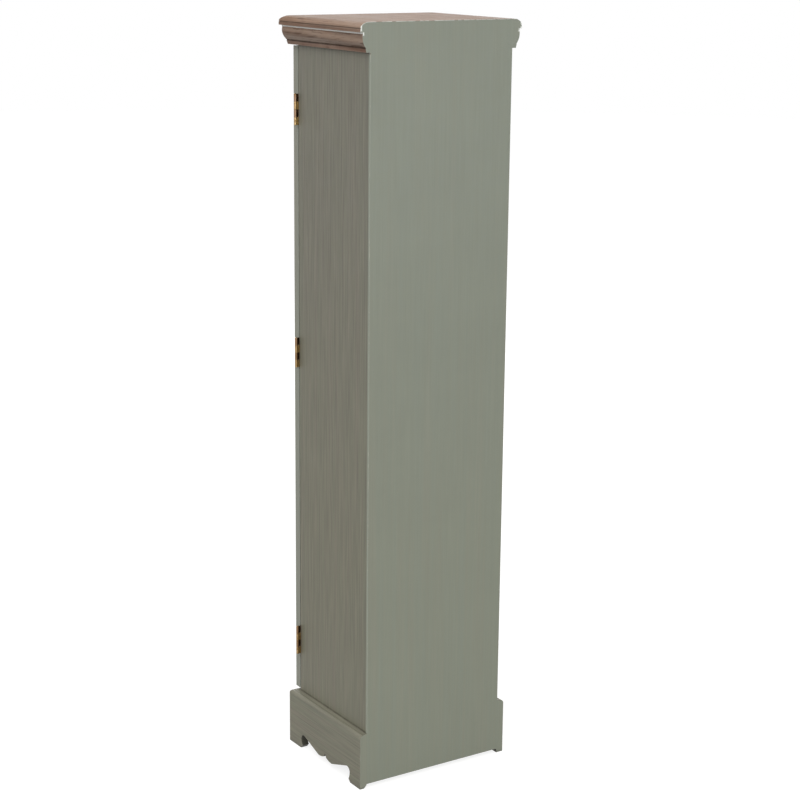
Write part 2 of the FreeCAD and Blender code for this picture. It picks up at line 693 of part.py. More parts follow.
def door_cross_piece(name):
    """A rail, or a glazing bar in front of the glass, with its tenons."""
    low, high = rail_heights()[name]
    piece = block((-light_half, light_half), (door_front_y, door_back_y), (low, high)).common(door_blank())
    piece = piece.cut(glass_pocket()).fuse(door_tenons(name))
    for cut in light_chamfers():
        piece = piece.cut(cut)
    piece = whole(piece)
    if "rail" in name:
        piece = drilled(piece, BEAD_PIN, bead_pin_places(), 0.0)
    if name == "door_rail_top":
        piece = drilled(piece, STRIKE_SCREW, strike_screw_places())
    return piece


def door_stile(side):
    """A stile with its mortises; side is 1 for the hinge side and -1 for the latch side."""
    edges = sorted((side * light_half, side * half_body))
    piece = block(edges, (door_front_y, door_back_y), (door_bottom_z, door_top_z)).common(door_blank())
    piece = piece.cut(glass_pocket())
    for name in rail_heights():
        piece = piece.cut(door_tenons(name))
    for cut in light_chamfers():
        piece = piece.cut(cut)
    return drilled(whole(piece), BEAD_PIN, bead_pin_places(), 0.0)


def door_stile_hinge():
    """Hinge stile with the hinge screws' holes."""
    return drilled(door_stile(1), HINGE_SCREW, door_screw_places())


def door_stile_latch():
    """Latch stile with the bore for the knob's screw."""
    start = V(knob_x, door_front_y, KNOB_HEIGHT)
    bore = Part.makeCylinder(KNOB_SCREW_RADIUS + SCREW_CLEARANCE, DOOR_THICKNESS, start, BACKWARD)
    return whole(door_stile(-1).cut(bore))


def door_glass():
    """The pane behind the bars."""
    half = light_half + RABBET_WIDTH - GLASS_CLEARANCE
    low = light_bottom_z - RABBET_WIDTH + GLASS_CLEARANCE
    high = light_top_z + RABBET_WIDTH - GLASS_CLEARANCE
    return block((-half, half), (lip_y, bead_front_y), (low, high))


def glazing_beads():
    """The four beads behind the glass, mitred, with their inner back edge rounded."""
    half = light_half + RABBET_WIDTH
    low = light_bottom_z - RABBET_WIDTH
    high = light_top_z + RABBET_WIDTH
    depth = (bead_front_y, bead_front_y + BEAD_THICKNESS)
    ring = block((-half, half), depth, (low, high))
    inner = (half - BEAD_WIDTH, low + BEAD_WIDTH, high - BEAD_WIDTH)
    ring = ring.cut(block((-inner[0], inner[0]), depth, inner[1:]))

    def inner_back_edge(p):
        """True on the four edges around the sight opening, at the back."""
        reach = BEAD_WIDTH / 2
        inside = abs(p.x) < inner[0] + reach and inner[1] - reach < p.z < inner[2] + reach
        return inside and p.y > depth[1] - BEAD_ROUND / 2

    ring = rounded(ring, BEAD_ROUND, inner_back_edge)
    ring = drilled(ring, BEAD_PIN, bead_pin_places(), 0.0)

    def mitre_block(points):
        """A flat-sided block through the door's depth over one side of the ring."""
        corners = [V(x, depth[0], z) for x, z in points]
        return Part.Face(Part.makePolygon(corners + corners[:1])).extrude(BACKWARD * BEAD_THICKNESS)

    low_middle = low + half
    high_middle = high - half
    sides = {
        "glazing_bead_right": [(half, low), (half, high), (0, high_middle), (0, low_middle)],
        "glazing_bead_left": [(-half, low), (-half, high), (0, high_middle), (0, low_middle)],
        "glazing_bead_top": [(-half, high), (half, high), (0, high_middle)],
        "glazing_bead_bottom": [(-half, low), (half, low), (0, low_middle)],
    }
    return {name: whole(ring.common(mitre_block(points))) for name, points in sides.items()}


# Hinges
def knuckle_range(level, index):
    """Height range of one knuckle, counted from the top."""
    high = hinge_z[level] + HINGE_LENGTH / 2 - index * (knuckle_length + KNUCKLE_GAP)
    return high - knuckle_length, high


def hinge_leaf(level, first_knuckle, depth):
    """A leaf with every second knuckle, bored for the pin."""
    low = hinge_z[level] - HINGE_LENGTH / 2
    edge = half_body - LEAF_SETBACK
    leaf = block((axis_x - LEAF_WIDTH, edge), depth, (low, low + HINGE_LENGTH))
    bore = Part.makeCylinder(PIN_RADIUS + PIN_CLEARANCE, HINGE_LENGTH, V(axis_x, axis_y, low))
    for index in range(first_knuckle, HINGE_KNUCKLES, 2):
        bottom, top = knuckle_range(level, index)
        leaf = leaf.fuse(block((edge, axis_x), depth, (bottom, top)))
        leaf = leaf.fuse(Part.makeCylinder(BARREL_RADIUS, top - bottom, V(axis_x, axis_y, bottom)))
    return whole(leaf.cut(bore))


def hinge_door_leaf(level):
    """The leaf on the door, with the first knuckle from the top."""
    leaf = hinge_leaf(level, 0, (door_back_y, door_back_y + LEAF_THICKNESS))
    return drilled(leaf, HINGE_SCREW, door_screw_places())


def hinge_frame_leaf(level):
    """The leaf on the side panel's front edge."""
    leaf = hinge_leaf(level, 1, (front_y - LEAF_THICKNESS, front_y))
    return drilled(leaf, HINGE_SCREW, frame_screw_places())


def hinge_pin(level):
    """The pin with a rounded head at each end."""
    low = hinge_z[level] - HINGE_LENGTH / 2 - PIN_HEAD_GAP
    length = HINGE_LENGTH + 2 * PIN_HEAD_GAP
    shank = Part.makeCylinder(PIN_RADIUS, length, V(axis_x, axis_y, low))
    radius = (PIN_HEAD_RADIUS ** 2 + PIN_HEAD_HEIGHT ** 2) / (2 * PIN_HEAD_HEIGHT)
    slope = math.degrees(math.asin(PIN_HEAD_RADIUS / radius))
    head = outline_face(lambda u, v: V(u, 0, v), (0, 0), [
        ((PIN_HEAD_RADIUS, 0),),
        (on_circle((0, PIN_HEAD_HEIGHT - radius), radius, 90 - slope / 2), (0, PIN_HEAD_HEIGHT)),
    ]).revolve(MIDDLE, UP, 360)
    top = turned(head, UP, V(axis_x, axis_y, low + length))
    bottom = turned(head, DOWN, V(axis_x, axis_y, low))
    return whole(shank.fuse(top).fuse(bottom))


# Knob
def door_knob():
    """Mushroom knob with a bore for its screw, drawn along +Z and set on its backplate."""
    reach = KNOB_PROJECTION - BACKPLATE_THICKNESS
    rim_z = reach - KNOB_DOME_HEIGHT
    dome_radius = (KNOB_RADIUS ** 2 + KNOB_DOME_HEIGHT ** 2) / (2 * KNOB_DOME_HEIGHT)
    slope = math.degrees(math.asin(KNOB_RADIUS / dome_radius))
    chord = ((KNOB_NECK_RADIUS + KNOB_RADIUS) / 2, (KNOB_NECK_LENGTH + rim_z) / 2)
    hollow = (chord[0] - KNOB_HOLLOW, chord[1] + KNOB_HOLLOW)
    section = outline_face(lambda u, v: V(u, 0, v), (0, 0), [
        ((KNOB_NECK_RADIUS, 0),),
        ((KNOB_NECK_RADIUS, KNOB_NECK_LENGTH),),
        (hollow, (KNOB_RADIUS, rim_z)),
        (on_circle((0, reach - dome_radius), dome_radius, 90 - slope / 2), (0, reach)),
    ])
    bore = Part.makeCylinder(KNOB_SCREW_RADIUS + SCREW_CLEARANCE, KNOB_SCREW_DEPTH + SCREW_CLEARANCE)
    knob = whole(section.revolve(MIDDLE, UP, 360).cut(bore))
    return turned(knob, FORWARD, V(knob_x, door_front_y - BACKPLATE_THICKNESS, KNOB_HEIGHT))


def knob_backplate():
    """Round plate between the knob and the door."""
    plate = Part.makeCylinder(BACKPLATE_RADIUS, BACKPLATE_THICKNESS)
    plate = rounded(plate, BACKPLATE_THICKNESS / 2, lambda p: p.z > BACKPLATE_THICKNESS / 2 + SCREW_CLEARANCE)
    plate = plate.cut(Part.makeCylinder(KNOB_SCREW_RADIUS + SCREW_CLEARANCE, BACKPLATE_THICKNESS))
    return turned(whole(plate), FORWARD, V(knob_x, door_front_y, KNOB_HEIGHT))


def knob_screw():
    """Pan-head screw from inside the door into the knob."""
    length = DOOR_THICKNESS + BACKPLATE_THICKNESS + KNOB_SCREW_DEPTH
    head = Part.makeCylinder(KNOB_SCREW_HEAD_RADIUS, KNOB_SCREW_HEAD_HEIGHT)
    half_head = KNOB_SCREW_HEAD_HEIGHT / 2
    head = rounded(head, half_head, lambda p: p.z > half_head + SCREW_CLEARANCE)
    arm = KNOB_SCREW_HEAD_RADIUS * DRIVE_REACH
    half = DRIVE_WIDTH / 2
    slot_z = (KNOB_SCREW_HEAD_HEIGHT - DRIVE_DEPTH, KNOB_SCREW_HEAD_HEIGHT + CUT_MARGIN)
    head = head.cut(block((-arm, arm), (-half, half), slot_z)).cut(block((-half, half), (-arm, arm), slot_z))
    shank = Part.makeCylinder(KNOB_SCREW_RADIUS, length, V(0, 0, -length))
    return turned(whole(head.fuse(shank)), BACKWARD, V(knob_x, door_back_y, KNOB_HEIGHT))


# Catch and bumpers
def magnet_range():
    """Block that the magnet fills: its poles reach out to the strike plate."""
    front = door_back_y + STRIKE_THICKNESS + STRIKE_GAP
    half = MAGNET_WIDTH / 2
    heights = (catch_z - MAGNET_HEIGHT / 2, catch_z + MAGNET_HEIGHT / 2)
    return (catch_x - half, catch_x + half), (front, front + MAGNET_DEPTH), heights


def catch_case():
    """Case under the ceiling board, with a pocket for the magnet."""
    half = CATCH_WIDTH / 2
    heights = (ceiling_z - CATCH_HEIGHT, ceiling_z)
    case = block((catch_x - half, catch_x + half), (front_y, front_y + CATCH_DEPTH), heights)
    x, y, z = magnet_range()
    play = MAGNET_CLEARANCE
    depth = (front_y - CUT_MARGIN, y[1] + play)
    pocket = block((x[0] - play, x[1] + play), depth, (z[0] - play, z[1] + play))
    return drilled(case.cut(pocket), CATCH_SCREW, catch_screw_places())


def catch_magnet():
    """Magnet with its pole plates."""
    return block(*magnet_range())


def catch_strike_plate():
    """Steel plate on the back of the door."""
    half = STRIKE_WIDTH / 2
    plate = block((catch_x - half, catch_x + half), (door_back_y, door_back_y + STRIKE_THICKNESS),
                  (catch_z - STRIKE_HEIGHT / 2, catch_z + STRIKE_HEIGHT / 2))
    return drilled(plate, STRIKE_SCREW, strike_screw_places())


def door_bumpers():
    """Two soft discs on the door that meet the side panel's edge."""
    depth = door_gap - BUMPER_GAP
    heights = (door_bottom_z + BUMPER_DISTANCE, door_top_z - BUMPER_DISTANCE)
    seats = [V(bumper_x, door_back_y, height) for height in heights]
    return Part.makeCompound([Part.makeCylinder(BUMPER_RADIUS, depth, seat, BACKWARD) for seat in seats])


def cabinet_pieces():
    """Every piece of the cabinet by its name."""
    crown_heights = (crown_bottom_z - CUT_MARGIN, top_bottom_z + CUT_MARGIN)
    crown = (crown_profile, CROWN_PROJECTION, CROWN_PROJECTION, rail_front_y, crown_heights)
    pieces = {
        "side_panel_right": hinge_side_panel(),
        "side_panel_left": mirrored(side_panel()),
        "back_panel": back_panel(),
        "back_panel_nails": nails(BACK_NAIL, back_nail_places()),
        "top_board": top_board(),
        "top_cleat_right": top_cleat(),
        "top_cleat_left": mirrored(top_cleat()),
        "top_board_screws": screws(BOARD_SCREW, top_screw_places()),
        "crown_rail": crown_rail(),
        "crown_moulding_front": mitred_front(*crown),
        "crown_moulding_right": mitred_side(*crown),
        "crown_moulding_left": mirrored(mitred_side(*crown)),
        "plinth_front": plinth_front(),
        "plinth_right": plinth_side(),
        "plinth_left": mirrored(plinth_side()),
        "plinth_corner_blocks": plinth_corner_blocks(),
        "plinth_screws": screws(BOARD_SCREW, plinth_screw_places()),
        "door_stile_hinge": door_stile_hinge(),
        "door_stile_latch": door_stile_latch(),
        "door_glass": door_glass(),
        "glazing_pins": nails(BEAD_PIN, bead_pin_places()),
        "hinge_frame_screws": screws(HINGE_SCREW, frame_screw_places()),
        "hinge_door_screws": screws(HINGE_SCREW, door_screw_places()),
        "door_knob": door_knob(),
        "knob_backplate": knob_backplate(),
        "knob_screw": knob_screw(),
        "catch_case": catch_case(),
        "catch_magnet": catch_magnet(),
        "catch_screws": screws(CATCH_SCREW, catch_screw_places()),
        "catch_strike_plate": catch_strike_plate(),
        "strike_screw": screws(STRIKE_SCREW, strike_screw_places()),
        "door_bumpers": door_bumpers(),
    }
    for name in housed_boards():
        pieces[name] = housed_board(name)
    for name in rail_heights():
        pieces[name] = door_cross_piece(name)
    for level in hinge_z:
        pieces["hinge_frame_leaf_" + level] = hinge_frame_leaf(level)
        pieces["hinge_door_leaf_" + level] = hinge_door_leaf(level)
        pieces["hinge_pin_" + level] = hinge_pin(level)
    pieces.update(glazing_beads())
    return pieces


os.makedirs("parts", exist_ok=True)
for name, shape in cabinet_pieces().items():
    shape.exportStep("parts/" + name + ".step")
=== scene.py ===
"""Looks of a slim painted display cabinet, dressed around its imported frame.

Metres, +Z up. The door faces -Y and hangs on the +X side, and the plain back stands at +Y. Each class is one
sub-assembly: its sizes are fields, and its methods model its pieces and give them their finishes.
"""
import json
import logging
import math
from dataclasses import dataclass, field
from enum import Enum, IntEnum
from typing import Any, Callable, Sequence, Union

import bmesh
import bpy
from mathutils import Matrix, Vector

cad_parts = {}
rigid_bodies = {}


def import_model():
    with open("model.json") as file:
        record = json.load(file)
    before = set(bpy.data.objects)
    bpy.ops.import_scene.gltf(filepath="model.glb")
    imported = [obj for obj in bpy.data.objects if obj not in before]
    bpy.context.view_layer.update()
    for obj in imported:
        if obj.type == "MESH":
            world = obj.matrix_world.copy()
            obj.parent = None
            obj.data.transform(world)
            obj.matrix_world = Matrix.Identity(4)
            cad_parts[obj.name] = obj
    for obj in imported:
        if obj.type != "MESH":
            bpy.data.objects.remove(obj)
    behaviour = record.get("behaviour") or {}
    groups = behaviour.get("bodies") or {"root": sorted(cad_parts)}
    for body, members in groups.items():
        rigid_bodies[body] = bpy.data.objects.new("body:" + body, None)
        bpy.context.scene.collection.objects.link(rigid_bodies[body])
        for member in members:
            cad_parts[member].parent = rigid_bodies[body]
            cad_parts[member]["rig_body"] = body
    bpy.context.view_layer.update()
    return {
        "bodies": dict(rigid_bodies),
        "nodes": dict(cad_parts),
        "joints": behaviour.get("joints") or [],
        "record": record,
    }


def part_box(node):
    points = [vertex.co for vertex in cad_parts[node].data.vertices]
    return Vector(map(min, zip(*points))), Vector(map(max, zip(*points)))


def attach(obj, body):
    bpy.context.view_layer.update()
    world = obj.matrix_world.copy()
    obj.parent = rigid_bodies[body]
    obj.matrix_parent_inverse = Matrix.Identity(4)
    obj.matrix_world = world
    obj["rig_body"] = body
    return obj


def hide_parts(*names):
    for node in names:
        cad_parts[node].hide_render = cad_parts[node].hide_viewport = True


LOG = logging.getLogger("display_cabinet")

Socket = bpy.types.NodeSocket
Feed = Union[Socket, float, Sequence[float]]
Shape = bmesh.types.BMesh
Vert, Edge, Face = bmesh.types.BMVert, bmesh.types.BMEdge, bmesh.types.BMFace
EdgeTest = Callable[[Edge], bool]
FaceTest = Callable[[Face], bool]

MM = 0.001
SIDES = {"right": 1.0, "left": -1.0}
LEVELS = ("lower", "middle", "upper")
HINGES = ("top", "middle", "bottom")

MERGE_DISTANCE = 0.002 * MM
FLAT_ANGLE = math.radians(0.4)
SHARP_ANGLE = math.radians(28.0)
SAME_PLACE = 0.06 * MM
LONG_EDGE = 30.0 * MM
STRAIGHT = 0.999

# Shares of a face's normal on an axis: it faces that way, leans that way, or runs along the axis.
FACING = 0.99
LEANING = 0.05
ALONGSIDE = 0.01

UP = Vector((0.0, 0.0, 1.0))
RIGHT = Vector((1.0, 0.0, 0.0))
FORWARD = Vector((0.0, -1.0, 0.0))
WHITE = (1.0, 1.0, 1.0, 1.0)
NOISE_LOW, NOISE_HIGH = 0.3, 0.7

# Tone stripes, of settled stain, lime, dust or tarnish and of painted shade: their patches per metre, what
# the thin patches keep, and how much of the half width has full cover.
STRIPE_PATCHES = 45.0
STRIPE_THIN = 0.7
STRIPE_CORE = 0.3


class Grain(Enum):
    """The axis that fibres and brush marks run along."""

    ALONG_X = 0
    ALONG_Y = 1
    ALONG_Z = 2

    def stretch(self, across: float, along: float) -> tuple[float, ...]:
        """Pattern scale on X, Y and Z, from repeats per metre across and along the marks."""
        return tuple(along if axis == self.value else across for axis in range(3))


class Coat(IntEnum):
    """Material slots of a piece: faces, rubbed edges, the rear end, and two for its own marks."""

    FACE = 0
    EDGE = 1
    REAR = 2
    ACCENT = 3
    TRIM = 4


@dataclass(frozen=True)
class Tone:
    """A colour as it looks on screen, in 8-bit sRGB."""

    red: int
    green: int
    blue: int

    def linear(self) -> tuple[float, ...]:
        """The colour for a shader socket.

        Returns:
            Linear red, green, blue and alpha.
        """
        channels = []
        for level in (self.red, self.green, self.blue):
            share = level / 255.0
            channels.append(share / 12.92 if share <= 0.04045 else ((share + 0.055) / 1.055) ** 2.4)
        return (*channels, 1.0)


SAGE = Tone(139, 143, 128)
SAGE_COOL = Tone(138, 143, 129)
SAGE_WARM = Tone(141, 143, 128)
SAGE_BLUE = Tone(139, 144, 134)
SAGE_SHADE = Tone(125, 129, 117)
SAGE_GREY = Tone(136, 138, 127)
SAGE_GREY_COOL = Tone(134, 138, 127)
SAGE_GREY_WARM = Tone(139, 138, 127)
SAGE_LIGHT = Tone(147, 152, 140)
STONE = Tone(114, 112, 96)
STONE_GREEN = Tone(113, 113, 96)
STONE_BROWN = Tone(116, 111, 97)
STONE_COOL = Tone(119, 117, 108)
# The ledge's tone, darker and even: dust and painted shade on the upward-facing ledge.
LEDGE_DUST_AND_SHADE = Tone(112, 110, 96)
STONE_LIGHT = Tone(132, 130, 118)
# Dark sawn wood for the plinth's inner faces and scallop cuts, its darkness painted shade.
SHADED_SAWN_DARK = Tone(70, 69, 59)
# A dark tone for stripes of painted shade and for the darkening at the floor.
DARK_STRIPE_TONE = Tone(66, 64, 53)
PRIMER = Tone(214, 215, 206)
PRIMER_WHITE = Tone(236, 238, 232)
PRIMER_SAGE = Tone(166, 166, 153)
PRIMER_STONE = Tone(158, 156, 144)
BARE_WOOD = Tone(104, 84, 70)
BARE_SAGE = Tone(120, 110, 96)
BARE_WALNUT = Tone(92, 70, 56)
WALNUT_DARK = Tone(104, 81, 67)
WALNUT = Tone(142, 119, 103)
WALNUT_PALE = Tone(162, 140, 124)
WALNUT_RED = Tone(152, 120, 97)
PORE_BROWN = Tone(78, 60, 50)
LIME_WASH = Tone(165, 155, 146)
# Pale lime, also used as painted sheen on the top face.
LIME_AND_SHEEN_PALE = Tone(150, 137, 129)
LIME_HIGHLIGHT_WHITE = Tone(240, 240, 236)
# Dark red-brown for painted shade on the bottom band and on the top's lip.
BAND_SHADE_RED = Tone(112, 82, 69)
# Dark brown for painted shade and settled stain in grooves and quirks.
GROOVE_SHADE_BROWN = Tone(58, 45, 40)
PINE = Tone(203, 172, 128)
PINE_DARK = Tone(168, 126, 82)
BRASS = Tone(174, 148, 108)
BRASS_ROSE = Tone(142, 115, 93)
BRASS_DARK = Tone(122, 94, 58)
BRASS_OLIVE = Tone(172, 143, 87)
BRASS_SHADE_BLACK = Tone(44, 31, 20)
BRASS_SHADE_DEEP = Tone(26, 20, 14)
ZINC = Tone(164, 166, 168)
ZINC_DULL = Tone(140, 142, 144)
CATCH_BROWN = Tone(92, 72, 60)
IRON_GREY = Tone(104, 104, 106)
IRON_DARK = Tone(62, 60, 60)
RUBBER_PALE = Tone(206, 204, 194)
GLASS_TINT = Tone(247, 252, 249)
FLOOR_GREY = Tone(140, 140, 138)


class NodeGraph:
    """A node tree, with short calls for what materials and the world use."""

    def __init__(self, tree: bpy.types.NodeTree) -> None:
        """Takes over the tree of a material or a world and empties it."""
        self.tree = tree
        tree.nodes.clear()

    def feed(self, socket: Socket, value: Feed) -> None:
        """Links a socket to another one, or sets its constant.

        Args:
            socket: The input that takes the value.
            value: A socket to link from, or a number or colour.
        """
        if isinstance(value, bpy.types.NodeSocket):
            self.tree.links.new(value, socket)
        else:
            socket.default_value = value

    def add(self, kind: str, inputs: dict[Union[str, int], Feed], **settings: Any) -> bpy.types.Node:
        """Adds a node.

        Args:
            kind: The node's type.
            inputs: Values for its inputs, by name or number.
            settings: Its own properties.

        Returns:
            The new node.
        """
        node = self.tree.nodes.new(kind)
        for key, setting in settings.items():
            setattr(node, key, setting)
        for key, value in inputs.items():
            self.feed(node.inputs[key], value)
        return node

    def maths(self, operation: str, first: Feed, second: Feed = 0.0) -> Socket:
        """The result of one step of arithmetic."""
        return self.add("ShaderNodeMath", {0: first, 1: second}, operation=operation).outputs["Value"]

    def span(self, value: Feed, to_low: float, to_high: float, low: float = NOISE_LOW,
             high: float = NOISE_HIGH) -> Socket:
        """Maps a range, as a rule that of soft noise, to another one and holds it at both ends.

        Args:
            value: The value to map.
            to_low: Result at the start of the range.
            to_high: Result at its end.
            low: Start of the range.
            high: End of the range.

        Returns:
            The mapped value.
        """
        node = self.add("ShaderNodeMapRange", {
            "Value": value,
            "From Min": low,
            "From Max": high,
            "To Min": to_low,
            "To Max": to_high,
        })
        return node.outputs["Result"]

    def seen(self) -> Socket:
        """Tells rays that show a thing, straight, mirrored or through glass, from rays that light it.

        Returns:
            1 for rays that show it and 0 for the others.
        """
        rays = self.add("ShaderNodeLightPath", {}).outputs
        seen = rays["Is Camera Ray"]
        for name in ("Is Glossy Ray", "Is Transmission Ray"):
            seen = self.maths("MAXIMUM", seen, rays[name])
        return seen


class ShaderGraph(NodeGraph):
    """One material's nodes, with short calls for what the finishes use."""

    def __init__(self, name: str) -> None:
        """Starts a material with a single Principled shader.

        Args:
            name: The material's name.
        """
        self.material = bpy.data.materials.new(name)
        self.material.use_nodes = True
        super().__init__(self.material.node_tree)
        self.shader = self.add("ShaderNodeBsdfPrincipled", {})
        self.output = self.add("ShaderNodeOutputMaterial", {"Surface": self.shader.outputs["BSDF"]})
        self.place = self.add("ShaderNodeTexCoord", {}).outputs["Object"]

    def surface(self, values: dict[str, Feed]) -> None:
        """Sets inputs of the Principled shader by their names."""
        for key, value in values.items():
            self.feed(self.shader.inputs[key], value)

    def scaled(self, scale: Sequence[float], shift: Sequence[float] = (0.0, 0.0, 0.0)) -> Socket:
        """Object coordinates, scaled to repeats per metre and then shifted by repeats."""
        mapping = self.add("ShaderNodeMapping", {"Vector": self.place, "Scale": scale, "Location": shift})
        return mapping.outputs["Vector"]

    def noise(self, scale: Union[float, Sequence[float]], detail: float = 2.0, roughness: float = 0.5,
              shift: Sequence[float] = (0.0, 0.0, 0.0)) -> Socket:
        """Soft noise around 0.5.

        Args:
            scale: Repeats per metre, on all axes or on each.
            detail: Octaves of finer noise.
            roughness: Share of the finer octaves.
            shift: Offset in repeats.

        Returns:
            The noise value.
        """
        texture = self.add("ShaderNodeTexNoise", {
            "Vector": self.scaled((scale,) * 3 if isinstance(scale, float) else scale, shift),
            "Scale": 1.0,
            "Detail": detail,
            "Roughness": roughness,
        })
        return texture.outputs["Fac"]

    def bands(self, scale: Sequence[float], wander: float, shift: Sequence[float]) -> Socket:
        """Wavy growth lines, as a board's figure shows them.

        Args:
            scale: Lines per metre on each axis.
            wander: How far the lines leave a straight run.
            shift: Offset in repeats.

        Returns:
            The band value, from 0 to 1.
        """
        texture = self.add("ShaderNodeTexWave", {
            "Vector": self.scaled(scale, shift),
            "Scale": 1.0,
            "Distortion": wander,
            "Detail": 3.0,
            "Detail Scale": 0.6,
            "Detail Roughness": 0.6,
        }, wave_type="BANDS", bands_direction="DIAGONAL", wave_profile="SIN")
        return texture.outputs["Fac"]

    def ramp(self, value: Feed, stops: Sequence[tuple[float, Tone]]) -> Socket:
        """Colours along a value.

        Args:
            value: The value that picks the colour.
            stops: Positions and their tones, in order.

        Returns:
            The colour.
        """
        node = self.add("ShaderNodeValToRGB", {"Fac": value})
        elements = node.color_ramp.elements
        while len(elements) < len(stops):
            elements.new(1.0)
        for element, (position, tone) in zip(elements, stops):
            element.position = position
            element.color = tone.linear()
        return node.outputs["Color"]

    def blend(self, share: Feed, first: Feed, second: Feed) -> Socket:
        """Lays a share of the second colour over the first."""
        return self.add("ShaderNodeMix", {0: share, 6: first, 7: second}, data_type="RGBA").outputs[2]

    def weigh(self, share: float, first: Feed, second: Feed) -> Socket:
        """Adds a share of the first value to the rest of the second."""
        return self.maths("ADD", self.maths("MULTIPLY", first, share),
                          self.maths("MULTIPLY", second, 1.0 - share))

    def lift(self, colour: Feed, factor: Feed) -> Socket:
        """Makes a colour lighter or darker by a factor."""
        return self.add("ShaderNodeHueSaturation", {"Color": colour, "Value": factor}).outputs["Color"]

    def bump(self, height: Feed, strength: float, distance: float) -> None:
        """Puts fine relief on the Principled shader, with its depth in metres."""
        node = self.add("ShaderNodeBump", {"Height": height, "Strength": strength, "Distance": distance})
        self.surface({"Normal": node.outputs["Normal"]})

    def lay_stripes(self, colour: Feed, stripes: Sequence["Settled"]) -> Feed:
        """Lays patchy stripes of settled stain, lime, dust or tarnish, and stripes of painted shade, over a
        colour.

        Args:
            colour: The colour underneath.
            stripes: The stripes, from the lowest layer up.

        Returns:
            The colour with its stripes.
        """
        if not stripes:
            return colour
        patch = self.span(self.noise(STRIPE_PATCHES, detail=3.0), STRIPE_THIN, 1.0, 0.35, 0.65)
        axes = self.add("ShaderNodeSeparateXYZ", {"Vector": self.place}).outputs
        for stripe in stripes:
            here = self.maths("ABSOLUTE", axes[stripe.across.value])
            away = self.maths("ABSOLUTE", self.maths("SUBTRACT", here, stripe.place))
            core = STRIPE_CORE * stripe.half_width
            share = self.span(away, stripe.share, 0.0, core, stripe.half_width)
            colour = self.blend(self.maths("MULTIPLY", share, patch), colour, stripe.tone.linear())
        return colour


@dataclass(frozen=True)
class Settled:
    """A straight stripe where stain, lime, dust or tarnish has settled, or a stripe of painted shade.

    Its place is the distance from the frame's middle plane on the axis that it is measured across.
    """

    across: Grain
    place: float
    half_width: float
    share: float
    tone: Tone = GROOVE_SHADE_BROWN


@dataclass(frozen=True)
class BrushedPaint:
    """Satin paint with brush streaks, over boards whose grain still shows."""

    name: str
    base: Tone = SAGE
    cool: Tone = SAGE_COOL
    warm: Tone = SAGE_WARM
    grain: Grain = Grain.ALONG_Z
    streak: float = 0.04
    brush: float = 0.03
    mottle: float = 0.03
    relief: float = 0.25
    gloss: float = 0.5
    stripes: tuple[Settled, ...] = ()
    drift_scale: tuple[float, float] = (70.0, 1.4)
    stroke_scale: tuple[float, float] = (180.0, 7.0)
    fibre_scale: tuple[float, float] = (560.0, 7.0)
    cloud_scale: float = 7.0
    relief_depth: float = 0.25 * MM

    def material(self) -> bpy.types.Material:
        """Makes the paint.

        Returns:
            Its material.
        """
        graph = ShaderGraph(self.name)
        along = self.grain.stretch
        drift = graph.noise(along(*self.drift_scale), detail=4.0, roughness=0.62)
        stroke = graph.noise(along(*self.stroke_scale), detail=3.0, roughness=0.6, shift=(8.4, 2.5, 6.2))
        fibre = graph.noise(along(*self.fibre_scale), detail=3.0, roughness=0.6, shift=(3.1, 7.7, 1.9))
        cloud = graph.noise(self.cloud_scale, detail=4.0, roughness=0.55)
        colour = graph.ramp(drift, ((0.36, self.cool), (0.5, self.base), (0.64, self.warm)))
        light = graph.span(cloud, 1.0 - self.mottle, 1.0 + self.mottle)
        for pattern, amount in ((stroke, self.brush), (fibre, self.streak)):
            light = graph.maths("MULTIPLY", light, graph.span(pattern, 1.0 - amount, 1.0 + amount))
        graph.surface({
            "Base Color": graph.lift(graph.lay_stripes(colour, self.stripes), light),
            "Roughness": graph.span(cloud, self.gloss - 0.02, self.gloss + 0.03),
            "Specular IOR Level": 0.35,
        })
        graph.bump(fibre, self.relief, self.relief_depth)
        return graph.material


@dataclass(frozen=True)
class RubbedEdge:
    """Paint worn through along an edge, to pale primer and in places to bare wood."""

    name: str
    paint: Tone = SAGE
    primer: Tone = PRIMER
    bare: Tone = BARE_WOOD
    start: float = 0.5
    scale: float = 48.0
    relief: float = 0.3
    relief_depth: float = 0.3 * MM

    def material(self) -> bpy.types.Material:
        """Makes the worn edge.

        Returns:
            Its material.
        """
        graph = ShaderGraph(self.name)
        patch = graph.noise(self.scale, detail=5.0, roughness=0.66)
        colour = graph.ramp(patch, (
            (self.start - 0.05, self.paint),
            (self.start + 0.02, self.primer),
            (self.start + 0.09, self.primer),
            (self.start + 0.13, self.bare),
        ))
        graph.surface({
            "Base Color": colour,
            "Roughness": graph.span(patch, 0.5, 0.75, self.start - 0.05, self.start + 0.1),
            "Specular IOR Level": 0.3,
        })
        graph.bump(patch, self.relief, self.relief_depth)
        return graph.material


